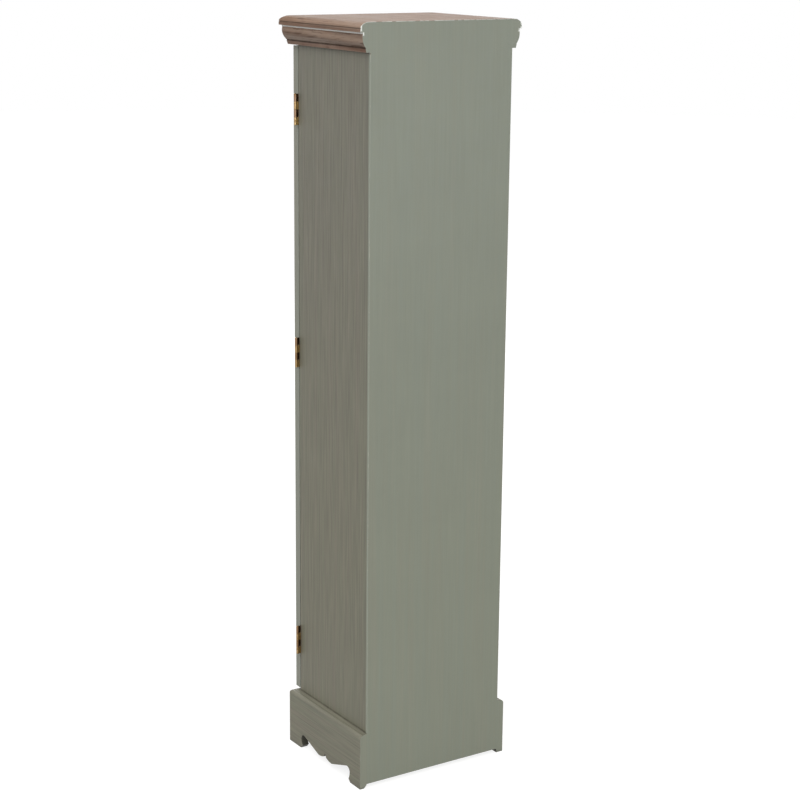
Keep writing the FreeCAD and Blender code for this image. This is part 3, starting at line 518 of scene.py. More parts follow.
@dataclass(frozen=True)
class StainedTimber:
    """Brown stained and limed wood with growth lines, fibres, pores and short dark flecks."""

    name: str
    grain: Grain
    shift: tuple[float, float, float]
    stripes: tuple[Settled, ...] = ()
    figure: float = 0.3
    band_scale: tuple[float, float] = (24.0, 1.3)
    band_wander: float = 7.0
    fibre_scale: tuple[float, float] = (420.0, 8.0)
    pore_scale: tuple[float, float] = (900.0, 38.0)
    fleck_scale: tuple[float, float] = (170.0, 15.0)
    wash_scale: tuple[float, float] = (30.0, 6.0)
    relief: float = 0.35
    relief_depth: float = 0.4 * MM

    def material(self) -> bpy.types.Material:
        """Makes the timber.

        Returns:
            Its material.
        """
        graph = ShaderGraph(self.name)
        along = self.grain.stretch
        bands = graph.bands(along(*self.band_scale), self.band_wander, self.shift)
        fibre = graph.noise(along(*self.fibre_scale), detail=5.0, roughness=0.66, shift=self.shift)
        pores = graph.noise(along(*self.pore_scale), detail=2.0, shift=self.shift)
        flecks = graph.noise(along(*self.fleck_scale), detail=1.0, shift=self.shift)
        wash = graph.noise(along(*self.wash_scale), detail=4.0, roughness=0.6, shift=self.shift)
        tone = graph.weigh(self.figure, bands, fibre)
        colour = graph.ramp(tone, ((0.26, WALNUT_DARK), (0.48, WALNUT), (0.72, WALNUT_PALE)))
        colour = graph.blend(graph.span(wash, 0.0, 0.4, 0.42, 0.72), colour, LIME_WASH.linear())
        colour = graph.lay_stripes(colour, self.stripes)
        for pattern, start in ((pores, 0.6), (flecks, 0.66)):
            share = graph.span(pattern, 0.0, 0.6, start, start + 0.08)
            colour = graph.blend(share, colour, PORE_BROWN.linear())
        graph.surface({
            "Base Color": colour,
            "Roughness": graph.span(tone, 0.85, 0.7),
            "Specular IOR Level": 0.08,
        })
        height = graph.maths("SUBTRACT", fibre, graph.maths("MULTIPLY", pores, 0.6))
        graph.bump(height, self.relief, self.relief_depth)
        return graph.material


@dataclass(frozen=True)
class PlainPine:
    """Planed softwood with growth lines, for the blocks that stay out of sight."""

    name: str
    grain: Grain
    figure: float = 0.6
    band_scale: tuple[float, float] = (70.0, 3.0)
    band_wander: float = 4.0
    fibre_scale: tuple[float, float] = (600.0, 12.0)
    relief: float = 0.25
    relief_depth: float = 0.2 * MM

    def material(self) -> bpy.types.Material:
        """Makes the softwood.

        Returns:
            Its material.
        """
        graph = ShaderGraph(self.name)
        bands = graph.bands(self.grain.stretch(*self.band_scale), self.band_wander, (0.0, 0.0, 0.0))
        fibre = graph.noise(self.grain.stretch(*self.fibre_scale), detail=4.0)
        tone = graph.weigh(self.figure, bands, fibre)
        graph.surface({
            "Base Color": graph.ramp(tone, ((0.3, PINE), (0.75, PINE_DARK))),
            "Roughness": graph.span(fibre, 0.6, 0.75),
            "Specular IOR Level": 0.3,
        })
        graph.bump(fibre, self.relief, self.relief_depth)
        return graph.material


@dataclass(frozen=True)
class BrushedMetal:
    """Metal with darkened patches and fine scratches."""

    name: str
    bright: Tone
    dark: Tone
    tarnish: float
    gloss: float
    scale: float = 160.0
    stripes: tuple[Settled, ...] = ()
    scratch_scale: tuple[float, float, float] = (2600.0, 2600.0, 90.0)
    relief: float = 0.12
    relief_depth: float = 0.05 * MM

    def material(self) -> bpy.types.Material:
        """Makes the metal.

        Returns:
            Its material.
        """
        graph = ShaderGraph(self.name)
        patch = graph.noise(self.scale, detail=4.0, roughness=0.6)
        scratch = graph.noise(self.scratch_scale, detail=2.0)
        share = graph.span(patch, 0.0, 1.0, 0.62 - self.tarnish, 0.78 - self.tarnish)
        colour = graph.blend(share, self.bright.linear(), self.dark.linear())
        graph.surface({
            "Base Color": graph.lay_stripes(colour, self.stripes),
            "Metallic": 1.0,
            "Roughness": graph.span(patch, self.gloss - 0.08, self.gloss + 0.12),
        })
        graph.bump(scratch, self.relief, self.relief_depth)
        return graph.material


@dataclass(frozen=True)
class ClearGlass:
    """Thin window glass, very slightly uneven, which lets the lamps through."""

    name: str
    sweep_scale: tuple[float, float, float] = (5.0, 5.0, 3.0)
    smear_scale: tuple[float, float, float] = (22.0, 22.0, 9.0)
    relief: float = 0.006
    relief_depth: float = 2.0 * MM

    def material(self) -> bpy.types.Material:
        """Makes the glass.

        Returns:
            Its material.
        """
        graph = ShaderGraph(self.name)
        sweep = graph.noise(self.sweep_scale, detail=2.0)
        smear = graph.noise(self.smear_scale, detail=4.0)
        graph.surface({
            "Base Color": GLASS_TINT.linear(),
            "Roughness": graph.span(smear, 0.0, 0.05, 0.45, 0.75),
            "IOR": 1.5,
            "Transmission Weight": 1.0,
        })
        graph.bump(sweep, self.relief, self.relief_depth)
        shadow = graph.add("ShaderNodeLightPath", {}).outputs["Is Shadow Ray"]
        clear = graph.add("ShaderNodeBsdfTransparent", {}).outputs["BSDF"]
        both = graph.add("ShaderNodeMixShader", {0: shadow, 1: graph.shader.outputs["BSDF"], 2: clear})
        graph.feed(graph.output.inputs["Surface"], both.outputs["Shader"])
        return graph.material


@dataclass(frozen=True)
class MouldedPolymer:
    """Plastic or rubber with a fine moulded texture."""

    name: str
    tone: Tone
    gloss: float
    variation: float = 0.06
    cloud_scale: float = 60.0
    texture_scale: float = 1500.0
    relief: float = 0.2
    relief_depth: float = 0.08 * MM

    def material(self) -> bpy.types.Material:
        """Makes the plastic or rubber.

        Returns:
            Its material.
        """
        graph = ShaderGraph(self.name)
        cloud = graph.noise(self.cloud_scale, detail=3.0)
        texture = graph.noise(self.texture_scale, detail=2.0)
        light = graph.span(cloud, 1.0 - self.variation, 1.0 + self.variation)
        graph.surface({
            "Base Color": graph.lift(self.tone.linear(), light),
            "Roughness": graph.span(cloud, self.gloss - 0.05, self.gloss + 0.1),
        })
        graph.bump(texture, self.relief, self.relief_depth)
        return graph.material


Finish = Union[BrushedPaint, RubbedEdge, StainedTimber, PlainPine, BrushedMetal, ClearGlass, MouldedPolymer]

# Darker over the lowest few millimetres, at the floor.
FLOOR_DARKENING = Settled(Grain.ALONG_Z, place=0.0, half_width=4.5 * MM, share=0.6, tone=DARK_STRIPE_TONE)
BLUE_HEAD = Settled(Grain.ALONG_Z, place=1.5, half_width=1.0, share=0.6, tone=SAGE_BLUE)
# Painted shade: the back a little darker around its middle height.
PAINTED_SHADE_MIDDLE = Settled(Grain.ALONG_Z, place=0.72, half_width=0.5, share=0.2, tone=SAGE_SHADE)
STONE_TONES = {"base": STONE, "cool": STONE_GREEN, "warm": STONE_BROWN}
LEDGE_TONES = dict.fromkeys(STONE_TONES, LEDGE_DUST_AND_SHADE)
STONE_BRUSH = {"streak": 0.17, "brush": 0.145}
SHADED_SAWN_LOOK = {"streak": 0.1, "brush": 0.1, **dict.fromkeys(STONE_TONES, SHADED_SAWN_DARK)}
STILE_TONES = {"base": SAGE_GREY, "cool": SAGE_GREY_COOL, "warm": SAGE_GREY_WARM}

BACK_PAINT = BrushedPaint("sage_paint_smooth", streak=0.022, brush=0.02, mottle=0.02, relief=0.12,
                          stripes=(BLUE_HEAD, PAINTED_SHADE_MIDDLE, FLOOR_DARKENING))
STILE_PAINT = BrushedPaint("sage_paint_upright", **STILE_TONES)
ACROSS_PAINT = BrushedPaint("sage_paint_across", grain=Grain.ALONG_X, **STILE_TONES)
SHADED_SAWN_SIDE = BrushedPaint("shaded_sawn_wood_level", grain=Grain.ALONG_Y, **SHADED_SAWN_LOOK)
SHADED_SAWN_FRONT = BrushedPaint("shaded_sawn_wood_across", grain=Grain.ALONG_X, **SHADED_SAWN_LOOK)
SAGE_EDGE = RubbedEdge("sage_edge_worn", SAGE_LIGHT, PRIMER_SAGE, BARE_SAGE, start=0.6)
STONE_EDGE = RubbedEdge("stone_edge_worn", STONE_LIGHT, PRIMER_STONE, start=0.62)
REAR_EDGE = RubbedEdge("crown_edge_worn", SAGE_LIGHT, PRIMER_WHITE, BARE_WALNUT, start=0.42, scale=60.0)
CHIPPED_RIM = RubbedEdge("crown_rim_chipped", primer=PRIMER_WHITE, bare=PRIMER, start=0.46, scale=70.0)
# The pale line under the top: lime, near white as painted highlight where it sits in the top's shade.
LIMED_HIGHLIGHT_LINE = RubbedEdge("limed_highlight_line", LIME_HIGHLIGHT_WHITE, LIME_HIGHLIGHT_WHITE, LIME_AND_SHEEN_PALE, start=0.6)
PINE_LENGTHWISE = PlainPine("planed_pine_level", Grain.ALONG_Y)
PINE_UPRIGHT = PlainPine("planed_pine_upright", Grain.ALONG_Z)
# Darker brass on the lower hinges.
DARK_FOOT = Settled(Grain.ALONG_Z, place=0.5, half_width=0.75, share=0.55, tone=BRASS_DARK)
LOW_DARKENING = {"stripes": (DARK_FOOT,)}
AGED_BRASS = BrushedMetal("aged_brass_satin", BRASS, BRASS_DARK, tarnish=0.12, gloss=0.34)
DULL_BRASS = BrushedMetal("aged_brass_dull", BRASS, BRASS_DARK, tarnish=0.12, gloss=0.34, **LOW_DARKENING)
ROSE_BRASS = BrushedMetal("aged_brass_rose", BRASS_ROSE, BRASS_DARK, tarnish=0.14, gloss=0.36, **LOW_DARKENING)
OLIVE_BRASS = BrushedMetal("aged_brass_olive", BRASS_OLIVE, BRASS_DARK, tarnish=0.14, gloss=0.42,
                           **LOW_DARKENING)
# Near black for the door leaves' recessed arms: tarnish and painted shade.
SHADED_BLACK_BRASS = BrushedMetal("aged_brass_black_shade", BRASS_SHADE_BLACK, BRASS_SHADE_DEEP, tarnish=0.16, gloss=0.5)
ZINC_PLATE = BrushedMetal("zinc_plated_steel", ZINC, ZINC_DULL, tarnish=0.1, gloss=0.36)
POLE_IRON = BrushedMetal("magnet_pole_iron", IRON_GREY, IRON_DARK, tarnish=0.2, gloss=0.45)
WINDOW_GLASS = ClearGlass("window_glass")
CASE_PLASTIC = MouldedPolymer("catch_case_plastic", CATCH_BROWN, gloss=0.5)
BUMPER_RUBBER = MouldedPolymer("bumper_rubber_soft", RUBBER_PALE, gloss=0.42)


def close_to(value: float, target: float) -> bool:
    """Whether two lengths agree within the frame's own fineness."""
    return abs(value - target) < SAME_PLACE


def middle_of(edge: Edge) -> Vector:
    """The point halfway along an edge."""
    return (edge.verts[0].co + edge.verts[1].co) / 2


def runs_along(edge: Edge, grain: Grain) -> bool:
    """Whether an edge is a long straight run along one axis."""
    run = edge.verts[1].co - edge.verts[0].co
    return run.length >= LONG_EDGE and abs(run[grain.value]) > STRAIGHT * run.length


def all_of(shape: Shape) -> list[Union[Vert, Edge, Face]]:
    """Every corner, edge and face of a shape."""
    return [*shape.verts, *shape.edges, *shape.faces]


def fill_rims(shape: Shape) -> None:
    """Closes the open rims of a shape."""
    rims = [edge for edge in shape.edges if edge.is_boundary]
    bmesh.ops.holes_fill(shape, edges=rims, sides=0)


def put(name: str, data: bpy.types.ID) -> bpy.types.Object:
    """Puts a mesh, a light or a camera into the scene.

    Args:
        name: The object's name.
        data: What it shows.

    Returns:
        The new object.
    """
    thing = bpy.data.objects.new(name, data)
    bpy.context.scene.collection.objects.link(thing)
    return thing


class Bench:
    """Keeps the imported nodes, makes each finish once and turns shapes into pieces."""

    def __init__(self, frame: dict[str, Any]) -> None:
        """Takes over the loaded frame.
        """
        self.nodes: dict[str, bpy.types.Object] = frame["nodes"]
        self.slots = {part["node"]: part["material_slot"] for part in frame["record"]["subparts"]}
        self.materials: dict[str, bpy.types.Material] = {}

    def material(self, finish: Finish) -> bpy.types.Material:
        """The finish's material, made on first use.

        Args:
            finish: The finish.

        Returns:
            Its material.
        """
        if finish.name not in self.materials:
            self.materials[finish.name] = finish.material()
        return self.materials[finish.name]

    def dress(self, finish: Finish, *names: str) -> None:
        """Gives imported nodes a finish.

        Args:
            finish: The finish.
            names: The nodes.
        """
        for name in names:
            self.nodes[name].material_slots[0].material = self.material(finish)
            LOG.info("dressed %s in %s", name, finish.name)

    def copy_of(self, node: str) -> Shape:
        """A node's mesh as one welded shape with whole flat faces.

        Args:
            node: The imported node.

        Returns:
            The copy.
        """
        shape = bmesh.new()
        shape.from_mesh(self.nodes[node].data)
        bmesh.ops.remove_doubles(shape, verts=shape.verts, dist=MERGE_DISTANCE)
        bmesh.ops.dissolve_limit(shape, angle_limit=FLAT_ANGLE, use_dissolve_boundaries=False,
                                 verts=shape.verts, edges=shape.edges, delimit={"NORMAL"})
        for face in shape.faces:
            face.material_index = Coat.FACE
        return shape

    def add_piece(self, name: str, shape: Shape, finishes: Sequence[Finish], *stands_for: str) -> None:
        """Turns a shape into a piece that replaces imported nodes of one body.

        Args:
            name: The piece's name.
            shape: Its mesh, which is used up.
            finishes: Its finishes, in the order of Coat.
            stands_for: The nodes that it replaces.
        """
        mesh = bpy.data.meshes.new(name)
        shape.to_mesh(mesh)
        shape.free()
        if "custom_normal" in mesh.attributes:
            mesh.attributes.remove(mesh.attributes["custom_normal"])
        for finish in finishes:
            mesh.materials.append(self.material(finish))
        mesh.shade_smooth()
        mesh.set_sharp_from_angle(angle=SHARP_ANGLE)
        piece = put(name, mesh)
        piece.modifiers.new("even_shading", "WEIGHTED_NORMAL").keep_sharp = True
        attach(piece, self.nodes[stands_for[0]]["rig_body"])
        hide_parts(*stands_for)
        LOG.info("built %s with %d faces", name, len(mesh.polygons))


def ease(shape: Shape, width: float, wanted: EdgeTest, segments: int = 2, coat: Coat = Coat.EDGE) -> None:
    """Rounds the wanted outer edges of a shape.

    Args:
        shape: The shape.
        width: How far the rounding reaches from the edge.
        wanted: Says which edges are eased.
        segments: Steps of the rounding.
        coat: The slot of the new faces.
    """
    edges = []
    for edge in shape.edges:
        if edge.is_manifold and edge.is_convex and edge.calc_face_angle() > SHARP_ANGLE and wanted(edge):
            edges.append(edge)
    made = bmesh.ops.bevel(shape, geom=edges, offset=width, offset_type="OFFSET", segments=segments,
                           profile=0.5, affect="EDGES", clamp_overlap=True, material=-1)
    for face in made["faces"]:
        face.material_index = coat


def mark(shape: Shape, coat: Coat, wanted: FaceTest) -> None:
    """Puts the wanted faces of a shape in a material slot.

    Args:
        shape: The shape.
        coat: The slot.
        wanted: Says which faces go there.
    """
    for face in shape.faces:
        if wanted(face):
            face.material_index = coat


@dataclass(frozen=True)
class Places:
    """Places that several sub-assemblies share, read from the frame."""

    half_body: float
    half_inside: float
    back_y: float
    front_y: float
    rail_y: float
    crown_low: float
    slab_low: float
    slab_half: float
    top: float
    plinth_half: float
    plinth_y: float
    side_ledge: float
    door_back_y: float
    door_front_y: float
    light_half: float

    @classmethod
    def read(cls) -> "Places":
        """Works the places out of the nodes' boxes.

        Returns:
            The places.
        """
        panel_low, panel_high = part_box("side_panel_right")
        back_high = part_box("back_panel")[1]
        crown_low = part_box("crown_moulding_front")[0]
        slab_low, slab_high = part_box("top_board")
        plinth_low, plinth_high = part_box("plinth_front")
        ledge_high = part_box("plinth_right")[1]
        stile_low, stile_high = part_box("door_stile_hinge")
        return cls(
            half_body=panel_high.x,
            half_inside=panel_low.x,
            back_y=back_high.y,
            front_y=panel_low.y,
            rail_y=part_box("crown_rail")[0].y,
            crown_low=crown_low.z,
            slab_low=slab_low.z,
            slab_half=slab_high.x,
            top=slab_high.z,
            plinth_half=plinth_high.x,
            plinth_y=plinth_low.y,
            side_ledge=ledge_high.z,
            door_back_y=stile_high.y,
            door_front_y=stile_low.y,
            light_half=stile_low.x,
        )

    def on_back(self, edge: Edge) -> bool:
        """Whether an edge lies in the plane of the back."""
        return all(close_to(vert.co.y, self.back_y) for vert in edge.verts)


@dataclass
class SubAssembly:
    """What every sub-assembly is built with."""

    bench: Bench
    places: Places


@dataclass
class Carcass(SubAssembly):
    """Side panels, back panel, shelves and boards."""

    panel_ease: float = 0.8 * MM
    shelf_ease: float = 1.4 * MM
    cool_reach: float = 1.0
    corner_shade: float = 20.0 * MM
    crown_shade: float = 3.5 * MM
    ledge_shade: float = 3.6 * MM

    def build(self) -> None:
        """Builds every panel and board and dresses the rest."""
        for side in SIDES:
            self.build_side_panel(f"side_panel_{side}")
        self.build_back_panel()
        for level in LEVELS:
            self.build_board(f"shelf_{level}", self.shelf_ease)
        for name in ("bottom_board", "ceiling_board"):
            self.build_board(name, self.panel_ease)
        self.bench.dress(BACK_PAINT, "back_panel_nails")
        self.bench.dress(ZINC_PLATE, "top_board_screws")
        self.bench.dress(PINE_LENGTHWISE, "top_cleat_right", "top_cleat_left")

    def side_paint(self) -> BrushedPaint:
        """The side panels' finish, with painted shade just above the plinth, under the crown and at the rear
        corner.

        Returns:
            The finish.
        """
        places = self.places
        stripes = (
            Settled(Grain.ALONG_Z, places.top, self.cool_reach, 0.6, STONE_COOL),
            # Painted shade: darker towards the rear corner, under the crown and just above the plinth's
            # ledge.
            Settled(Grain.ALONG_Y, places.back_y, self.corner_shade, 0.16, DARK_STRIPE_TONE),
            Settled(Grain.ALONG_Z, places.crown_low, self.crown_shade, 0.6, DARK_STRIPE_TONE),
            Settled(Grain.ALONG_Z, places.side_ledge, self.ledge_shade, 0.75, DARK_STRIPE_TONE),
        )
        return BrushedPaint("stone_paint_upright", **STONE_TONES, **STONE_BRUSH, stripes=stripes)

    def arris(self, face: Face) -> bool:
        """Whether a face belongs to a rounded upright corner on the outside."""
        outside = abs(face.calc_center_median().x) > self.places.half_body - self.panel_ease
        return outside and min(abs(face.normal.x), abs(face.normal.y)) > LEANING

    def build_side_panel(self, name: str) -> None:
        """Builds one side panel with a softened front edge.

        Args:
            name: The panel's node.
        """
        places = self.places
        shape = self.bench.copy_of(name)

        def front_inside(edge: Edge) -> bool:
            """Whether an edge is the front edge towards the inside.

            Args:
                edge: An edge of the panel.

            Returns:
                True for that edge.
            """
            point = middle_of(edge)
            inside = close_to(abs(point.x), places.half_inside) and close_to(point.y, places.front_y)
            return inside and runs_along(edge, Grain.ALONG_Z)

        mark(shape, Coat.EDGE, self.arris)
        ease(shape, self.panel_ease, front_inside)
        self.bench.add_piece(f"{name}_eased", shape, (self.side_paint(), STONE_EDGE), name)

    def build_back_panel(self) -> None:
        """Builds the back with worn corners and a softened lower edge."""
        places = self.places
        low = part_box("back_panel")[0].z
        shape = self.bench.copy_of("back_panel")

        def lower_edge(edge: Edge) -> bool:
            """Whether an edge is the lower one on the outside.

            Args:
                edge: An edge of the back.

            Returns:
                True for that edge.
            """
            point = middle_of(edge)
            at_back = close_to(point.z, low) and close_to(point.y, places.back_y)
            return at_back and runs_along(edge, Grain.ALONG_X)

        mark(shape, Coat.EDGE, self.arris)
        ease(shape, self.panel_ease, lower_edge)
        self.bench.add_piece("back_panel_eased", shape, (BACK_PAINT, SAGE_EDGE), "back_panel")

    def build_board(self, name: str, width: float) -> None:
        """Builds a shelf or board with a softened front edge.

        Args:
            name: The board's node.
            width: Reach of the softening.
        """
        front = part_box(name)[0].y
        shape = self.bench.copy_of(name)

        def front_edge(edge: Edge) -> bool:
            """Whether an edge runs along the front."""
            return close_to(middle_of(edge).y, front) and runs_along(edge, Grain.ALONG_X)

        ease(shape, width, front_edge, segments=3)
        self.bench.add_piece(f"{name}_eased", shape, (ACROSS_PAINT, SAGE_EDGE), name)


@dataclass
class Pen:
    """Draws a section as a chain of edges."""

    shape: Shape
    here: Vert
    start: Vert = field(init=False)

    def __post_init__(self) -> None:
        """Remembers where the section starts."""
        self.start = self.here

    def line(self, end: Vector) -> None:
        """Draws a straight edge.

        Args:
            end: Where it ends.
        """
        made = bmesh.ops.extrude_vert_indiv(self.shape, verts=[self.here])
        self.here = made["verts"][0]
        self.here.co = end

    def arc(self, centre: Vector, axis: Vector, angle: float, steps: int) -> None:
        """Draws a round stretch about an axis through its centre, with its angle in radians."""
        made = bmesh.ops.spin(self.shape, geom=[self.here], cent=centre, axis=axis, angle=angle, steps=steps)
        self.here = next(item for item in made["geom_last"] if isinstance(item, Vert))

    def close(self) -> Face:
        """Closes the section and returns its face."""
        self.shape.edges.new((self.here, self.start))
        return bmesh.ops.contextual_create(self.shape, geom=self.shape.edges[:])["faces"][0]


@dataclass
class Crown(SubAssembly):
    """Top board and the mitred crown moulding under it."""

    top_round_height: float = 12.0 * MM
    top_round_width: float = 17.5 * MM
    top_nose: float = 6.0 * MM
    nose_inset: float = 0.15 * MM
    groove_depth: float = 0.9 * MM
    groove_height: float = 1.3 * MM
    foot: float = 8.2 * MM
    band: float = 10.0 * MM
    band_height: float = 7.5 * MM
    band_quirk: float = 1.0 * MM
    projection: float = 16.5 * MM
    swell_drop: float = 9.0 * MM
    line_height: float = 2.9 * MM
    line_reach: float = 16.4 * MM
    rear_ease: float = 0.6 * MM
    chip_height: float = 6.0 * MM
    chip_width: float = 3.2 * MM
    band_shade: float = 6.0 * MM
    lime_rise: float = 6.0 * MM
    lime_width: float = 5.5 * MM
    quirk_rise: float = 0.6 * MM
    quirk_stain_and_shade: float = 2.6 * MM
    edge_rise: float = 5.5 * MM
    edge_stain: float = 8.0 * MM
    top_lime_and_sheen: float = 1.2 * MM
    lip_shade: float = 6.5 * MM
    groove_stain_and_shade: float = 1.6 * MM
    round_steps: int = 14

    def build(self) -> None:
        """Builds the mouldings and the top board."""
        for side, hand in SIDES.items():
            self.build_side_moulding(side, hand)
        self.build_front_moulding()
        self.build_top_board()
        self.bench.dress(ACROSS_PAINT, "crown_rail")

    def timber(self, name: str, grain: Grain, shift: tuple[float, float, float]) -> StainedTimber:
        """The mouldings' finish: a red-brown band darkened as painted shade, painted shade and stain in the
        quirk, and lime above it.

        Args:
            name: The finish's name.
            grain: The axis that its fibres run along.
            shift: Offset of its pattern.

        Returns:
            The finish.
        """
        low = self.places.crown_low
        quirk = low + self.band_height
        stripes = (
            # Painted shade: the downward-facing bottom band darker and redder.
            Settled(Grain.ALONG_Z, low + 0.45 * self.band_height, self.band_shade, 0.6, BAND_SHADE_RED),
            Settled(Grain.ALONG_Z, quirk + self.lime_rise, self.lime_width, 0.55, LIME_AND_SHEEN_PALE),
            # Painted shade with stain settled in it: a dark line in the quirk.
            Settled(Grain.ALONG_Z, quirk + self.quirk_rise, self.quirk_stain_and_shade, 0.9),
        )
        return StainedTimber(name, grain, shift, stripes)

    def section(self, shape: Shape, origin: Vector, out: Vector) -> Face:
        """Draws the moulding's section.

        Args:
            shape: The shape to draw in.
            origin: Point on the backing at the moulding's foot.
            out: Direction away from the backing.

        Returns:
            The section's face.
        """

        def at(reach: float, height: float) -> Vector:
            """A point of the section by its reach and height."""
            return origin + out * reach + UP * height

        total = self.places.slab_low - self.places.crown_low
        start = self.band - self.band_quirk
        rise = self.projection - start
        height = total - self.swell_drop - self.band_height
        radius = (rise ** 2 + height ** 2) / (2 * rise)
        turn = math.asin(height / radius) + math.asin((self.swell_drop - self.line_height) / radius)
        pen = Pen(shape, shape.verts.new(at(0.0, 0.0)))
        pen.line(at(self.foot, 0.0))
        pen.line(at(self.band, self.band_height))
        pen.line(at(start, self.band_height))
        pen.arc(at(self.projection - radius, total - self.swell_drop), out.cross(UP), turn, self.round_steps)
        pen.line(at(self.line_reach, total - self.line_height))
        pen.line(at(self.line_reach, total))
        pen.line(at(0.0, total))
        return pen.close()

    def cut(self, shape: Shape, corner: Vector, normal: Vector) -> None:
        """Mitres a moulding and closes the cut.

        Args:
            shape: The moulding.
            corner: A point on the mitre.
            normal: Direction of the part that goes.
        """
        bmesh.ops.bisect_plane(shape, geom=all_of(shape), dist=MERGE_DISTANCE, plane_co=corner,
                               plane_no=normal, clear_outer=True)
        fill_rims(shape)

    def run(self, origin: Vector, out: Vector, along: Vector) -> Shape:
        """A straight length of moulding.

        Args:
            origin: Its foot at the start, on the backing.
            out: Direction away from the backing.
            along: Its run, as a direction with its length.

        Returns:
            The moulding, square at both ends.
        """
        shape = bmesh.new()
        face = self.section(shape, origin, out)
        made = bmesh.ops.extrude_face_region(shape, geom=[face])
        ends = [item for item in made["geom"] if isinstance(item, Vert)]
        bmesh.ops.translate(shape, verts=ends, vec=along)
        fill_rims(shape)
        bmesh.ops.recalc_face_normals(shape, faces=shape.faces)
        return shape

    def limed_highlight(self, face: Face) -> bool:
        """Whether a face is of the pale line at the moulding's head, near white as lime and painted
        highlight.
        """
        low = min(vert.co.z for vert in face.verts)
        return self.line_height + SAME_PLACE > self.places.slab_low - low > SAME_PLACE

    def chip_corner(self, shape: Shape, reach: float, coat: Coat) -> None:
        """Paints the rear end and sets off its outer corners, where the paint is chipped.

        Args:
            shape: The moulding or the top.
            reach: How far the end reaches from the middle.
            coat: The slot of the chipped corners.
        """
        low = self.places.slab_low - self.chip_height
        outer = reach - self.chip_width
        for point, normal in ((RIGHT * outer, RIGHT), (RIGHT * -outer, RIGHT), (UP * low, UP)):
            faces = [face for face in shape.faces if face.normal.y > FACING]
            edges = dict.fromkeys(edge for face in faces for edge in face.edges)
            verts = dict.fromkeys(vert for face in faces for vert in face.verts)
            bmesh.ops.bisect_plane(shape, geom=[*verts, *edges, *faces], dist=MERGE_DISTANCE, plane_co=point,
                                   plane_no=normal)
        for face in shape.faces:
            if face.normal.y > FACING:
                middle = face.calc_center_median()
                chipped = abs(middle.x) > outer and middle.z > low
                face.material_index = coat if chipped else Coat.REAR

    def build_side_moulding(self, side: str, hand: float) -> None:
        """Builds the moulding along one side.

        Args:
            side: Which side.
            hand: 1 for the right, -1 for the left.
        """
        places = self.places
        low_y = places.rail_y - self.projection
        origin = Vector((places.half_body, low_y, places.crown_low))
        shape = self.run(origin, RIGHT, Vector((0.0, places.back_y - low_y, 0.0)))
        corner = Vector((places.half_body, places.rail_y, 0.0))
        self.cut(shape, corner, Vector((-1.0, -1.0, 0.0)))

        def rear_outline(edge: Edge) -> bool:
            """Whether an edge is on the outline of the rear end, off the backing and the slab.

            Args:
                edge: An edge of the moulding.

            Returns:
                True for an edge on that outline.
            """
            first, second = (vert.co for vert in edge.verts)
            free = min(first.z, second.z) < places.slab_low - SAME_PLACE
            outer = max(first.x, second.x) > places.half_body + self.foot / 2
            return places.on_back(edge) and free and outer

        mark(shape, Coat.ACCENT, self.limed_highlight)
        ease(shape, self.rear_ease, rear_outline)
        self.chip_corner(shape, places.half_body + self.projection, Coat.TRIM)
        if hand < 0.0:
            bmesh.ops.scale(shape, vec=(-1.0, 1.0, 1.0), verts=shape.verts)
            bmesh.ops.recalc_face_normals(shape, faces=shape.faces)
        timber = self.timber("stained_crown_side", Grain.ALONG_Y, (0.7, 2.3, 5.1))
        node = f"crown_moulding_{side}"
        finishes = (timber, SAGE_EDGE, BACK_PAINT, LIMED_HIGHLIGHT_LINE, CHIPPED_RIM)
        self.bench.add_piece(f"{node}_run", shape, finishes, node)

    def build_front_moulding(self) -> None:
        """Builds the moulding across the front, mitred at both ends."""
        places = self.places
        half = places.half_body + self.projection
        origin = Vector((-half, places.rail_y, places.crown_low))
        shape = self.run(origin, FORWARD, Vector((2.0 * half, 0.0, 0.0)))
        for hand in SIDES.values():
            corner = Vector((hand * places.half_body, places.rail_y, 0.0))
            self.cut(shape, corner, Vector((hand, 1.0, 0.0)))
        mark(shape, Coat.ACCENT, self.limed_highlight)
        timber = self.timber("stained_crown_front", Grain.ALONG_X, (4.3, 1.2, 0.4))
        node = "crown_moulding_front"
        self.bench.add_piece(f"{node}_run", shape, (timber, SAGE_EDGE, BACK_PAINT, LIMED_HIGHLIGHT_LINE), node)

    def build_top_board(self) -> None:
        """Builds the top: a lip, a groove and a rounded edge on three sides, square at the back."""
        places = self.places
        half = places.slab_half
        shape = bmesh.new()
        pen = Pen(shape, shape.verts.new((half, places.back_y, places.slab_low)))
        for x, y in ((half, -places.back_y), (-half, -places.back_y), (-half, places.back_y)):
            pen.line(Vector((x, y, places.slab_low)))
        rings = [shape.verts[:]]
        chain = shape.edges[:]
        for inset, height in self.top_steps():
            made = bmesh.ops.extrude_edge_only(shape, edges=chain)["geom"]
            ring = [item for item in made if isinstance(item, Vert)]
            chain = [edge for edge in shape.edges if all(vert in ring for vert in edge.verts)]
            for vert in ring:
                vert.co.x = math.copysign(half - inset, vert.co.x)
                vert.co.y = inset - places.back_y if vert.co.y < 0.0 else places.back_y
                vert.co.z = height
            rings.append(ring)
        for ring in (rings[0], rings[-1]):
            shape.edges.new([vert for vert in ring if vert.co.y > 0.0])
            sides = [edge for edge in shape.edges if all(vert in ring for vert in edge.verts)]
            bmesh.ops.contextual_create(shape, geom=sides)
        fill_rims(shape)

        def rear_outline(edge: Edge) -> bool:
            """Whether an edge is on the rear outline, above the crown."""
            high = max(vert.co.z for vert in edge.verts)
            return places.on_back(edge) and high > places.slab_low + SAME_PLACE

        bmesh.ops.recalc_face_normals(shape, faces=shape.faces)
        ease(shape, self.rear_ease, rear_outline)
        self.chip_corner(shape, half, Coat.ACCENT)
        finishes = (self.top_timber(), REAR_EDGE, BACK_PAINT, CHIPPED_RIM)
        self.bench.add_piece("top_board_rounded", shape, finishes, "top_board")

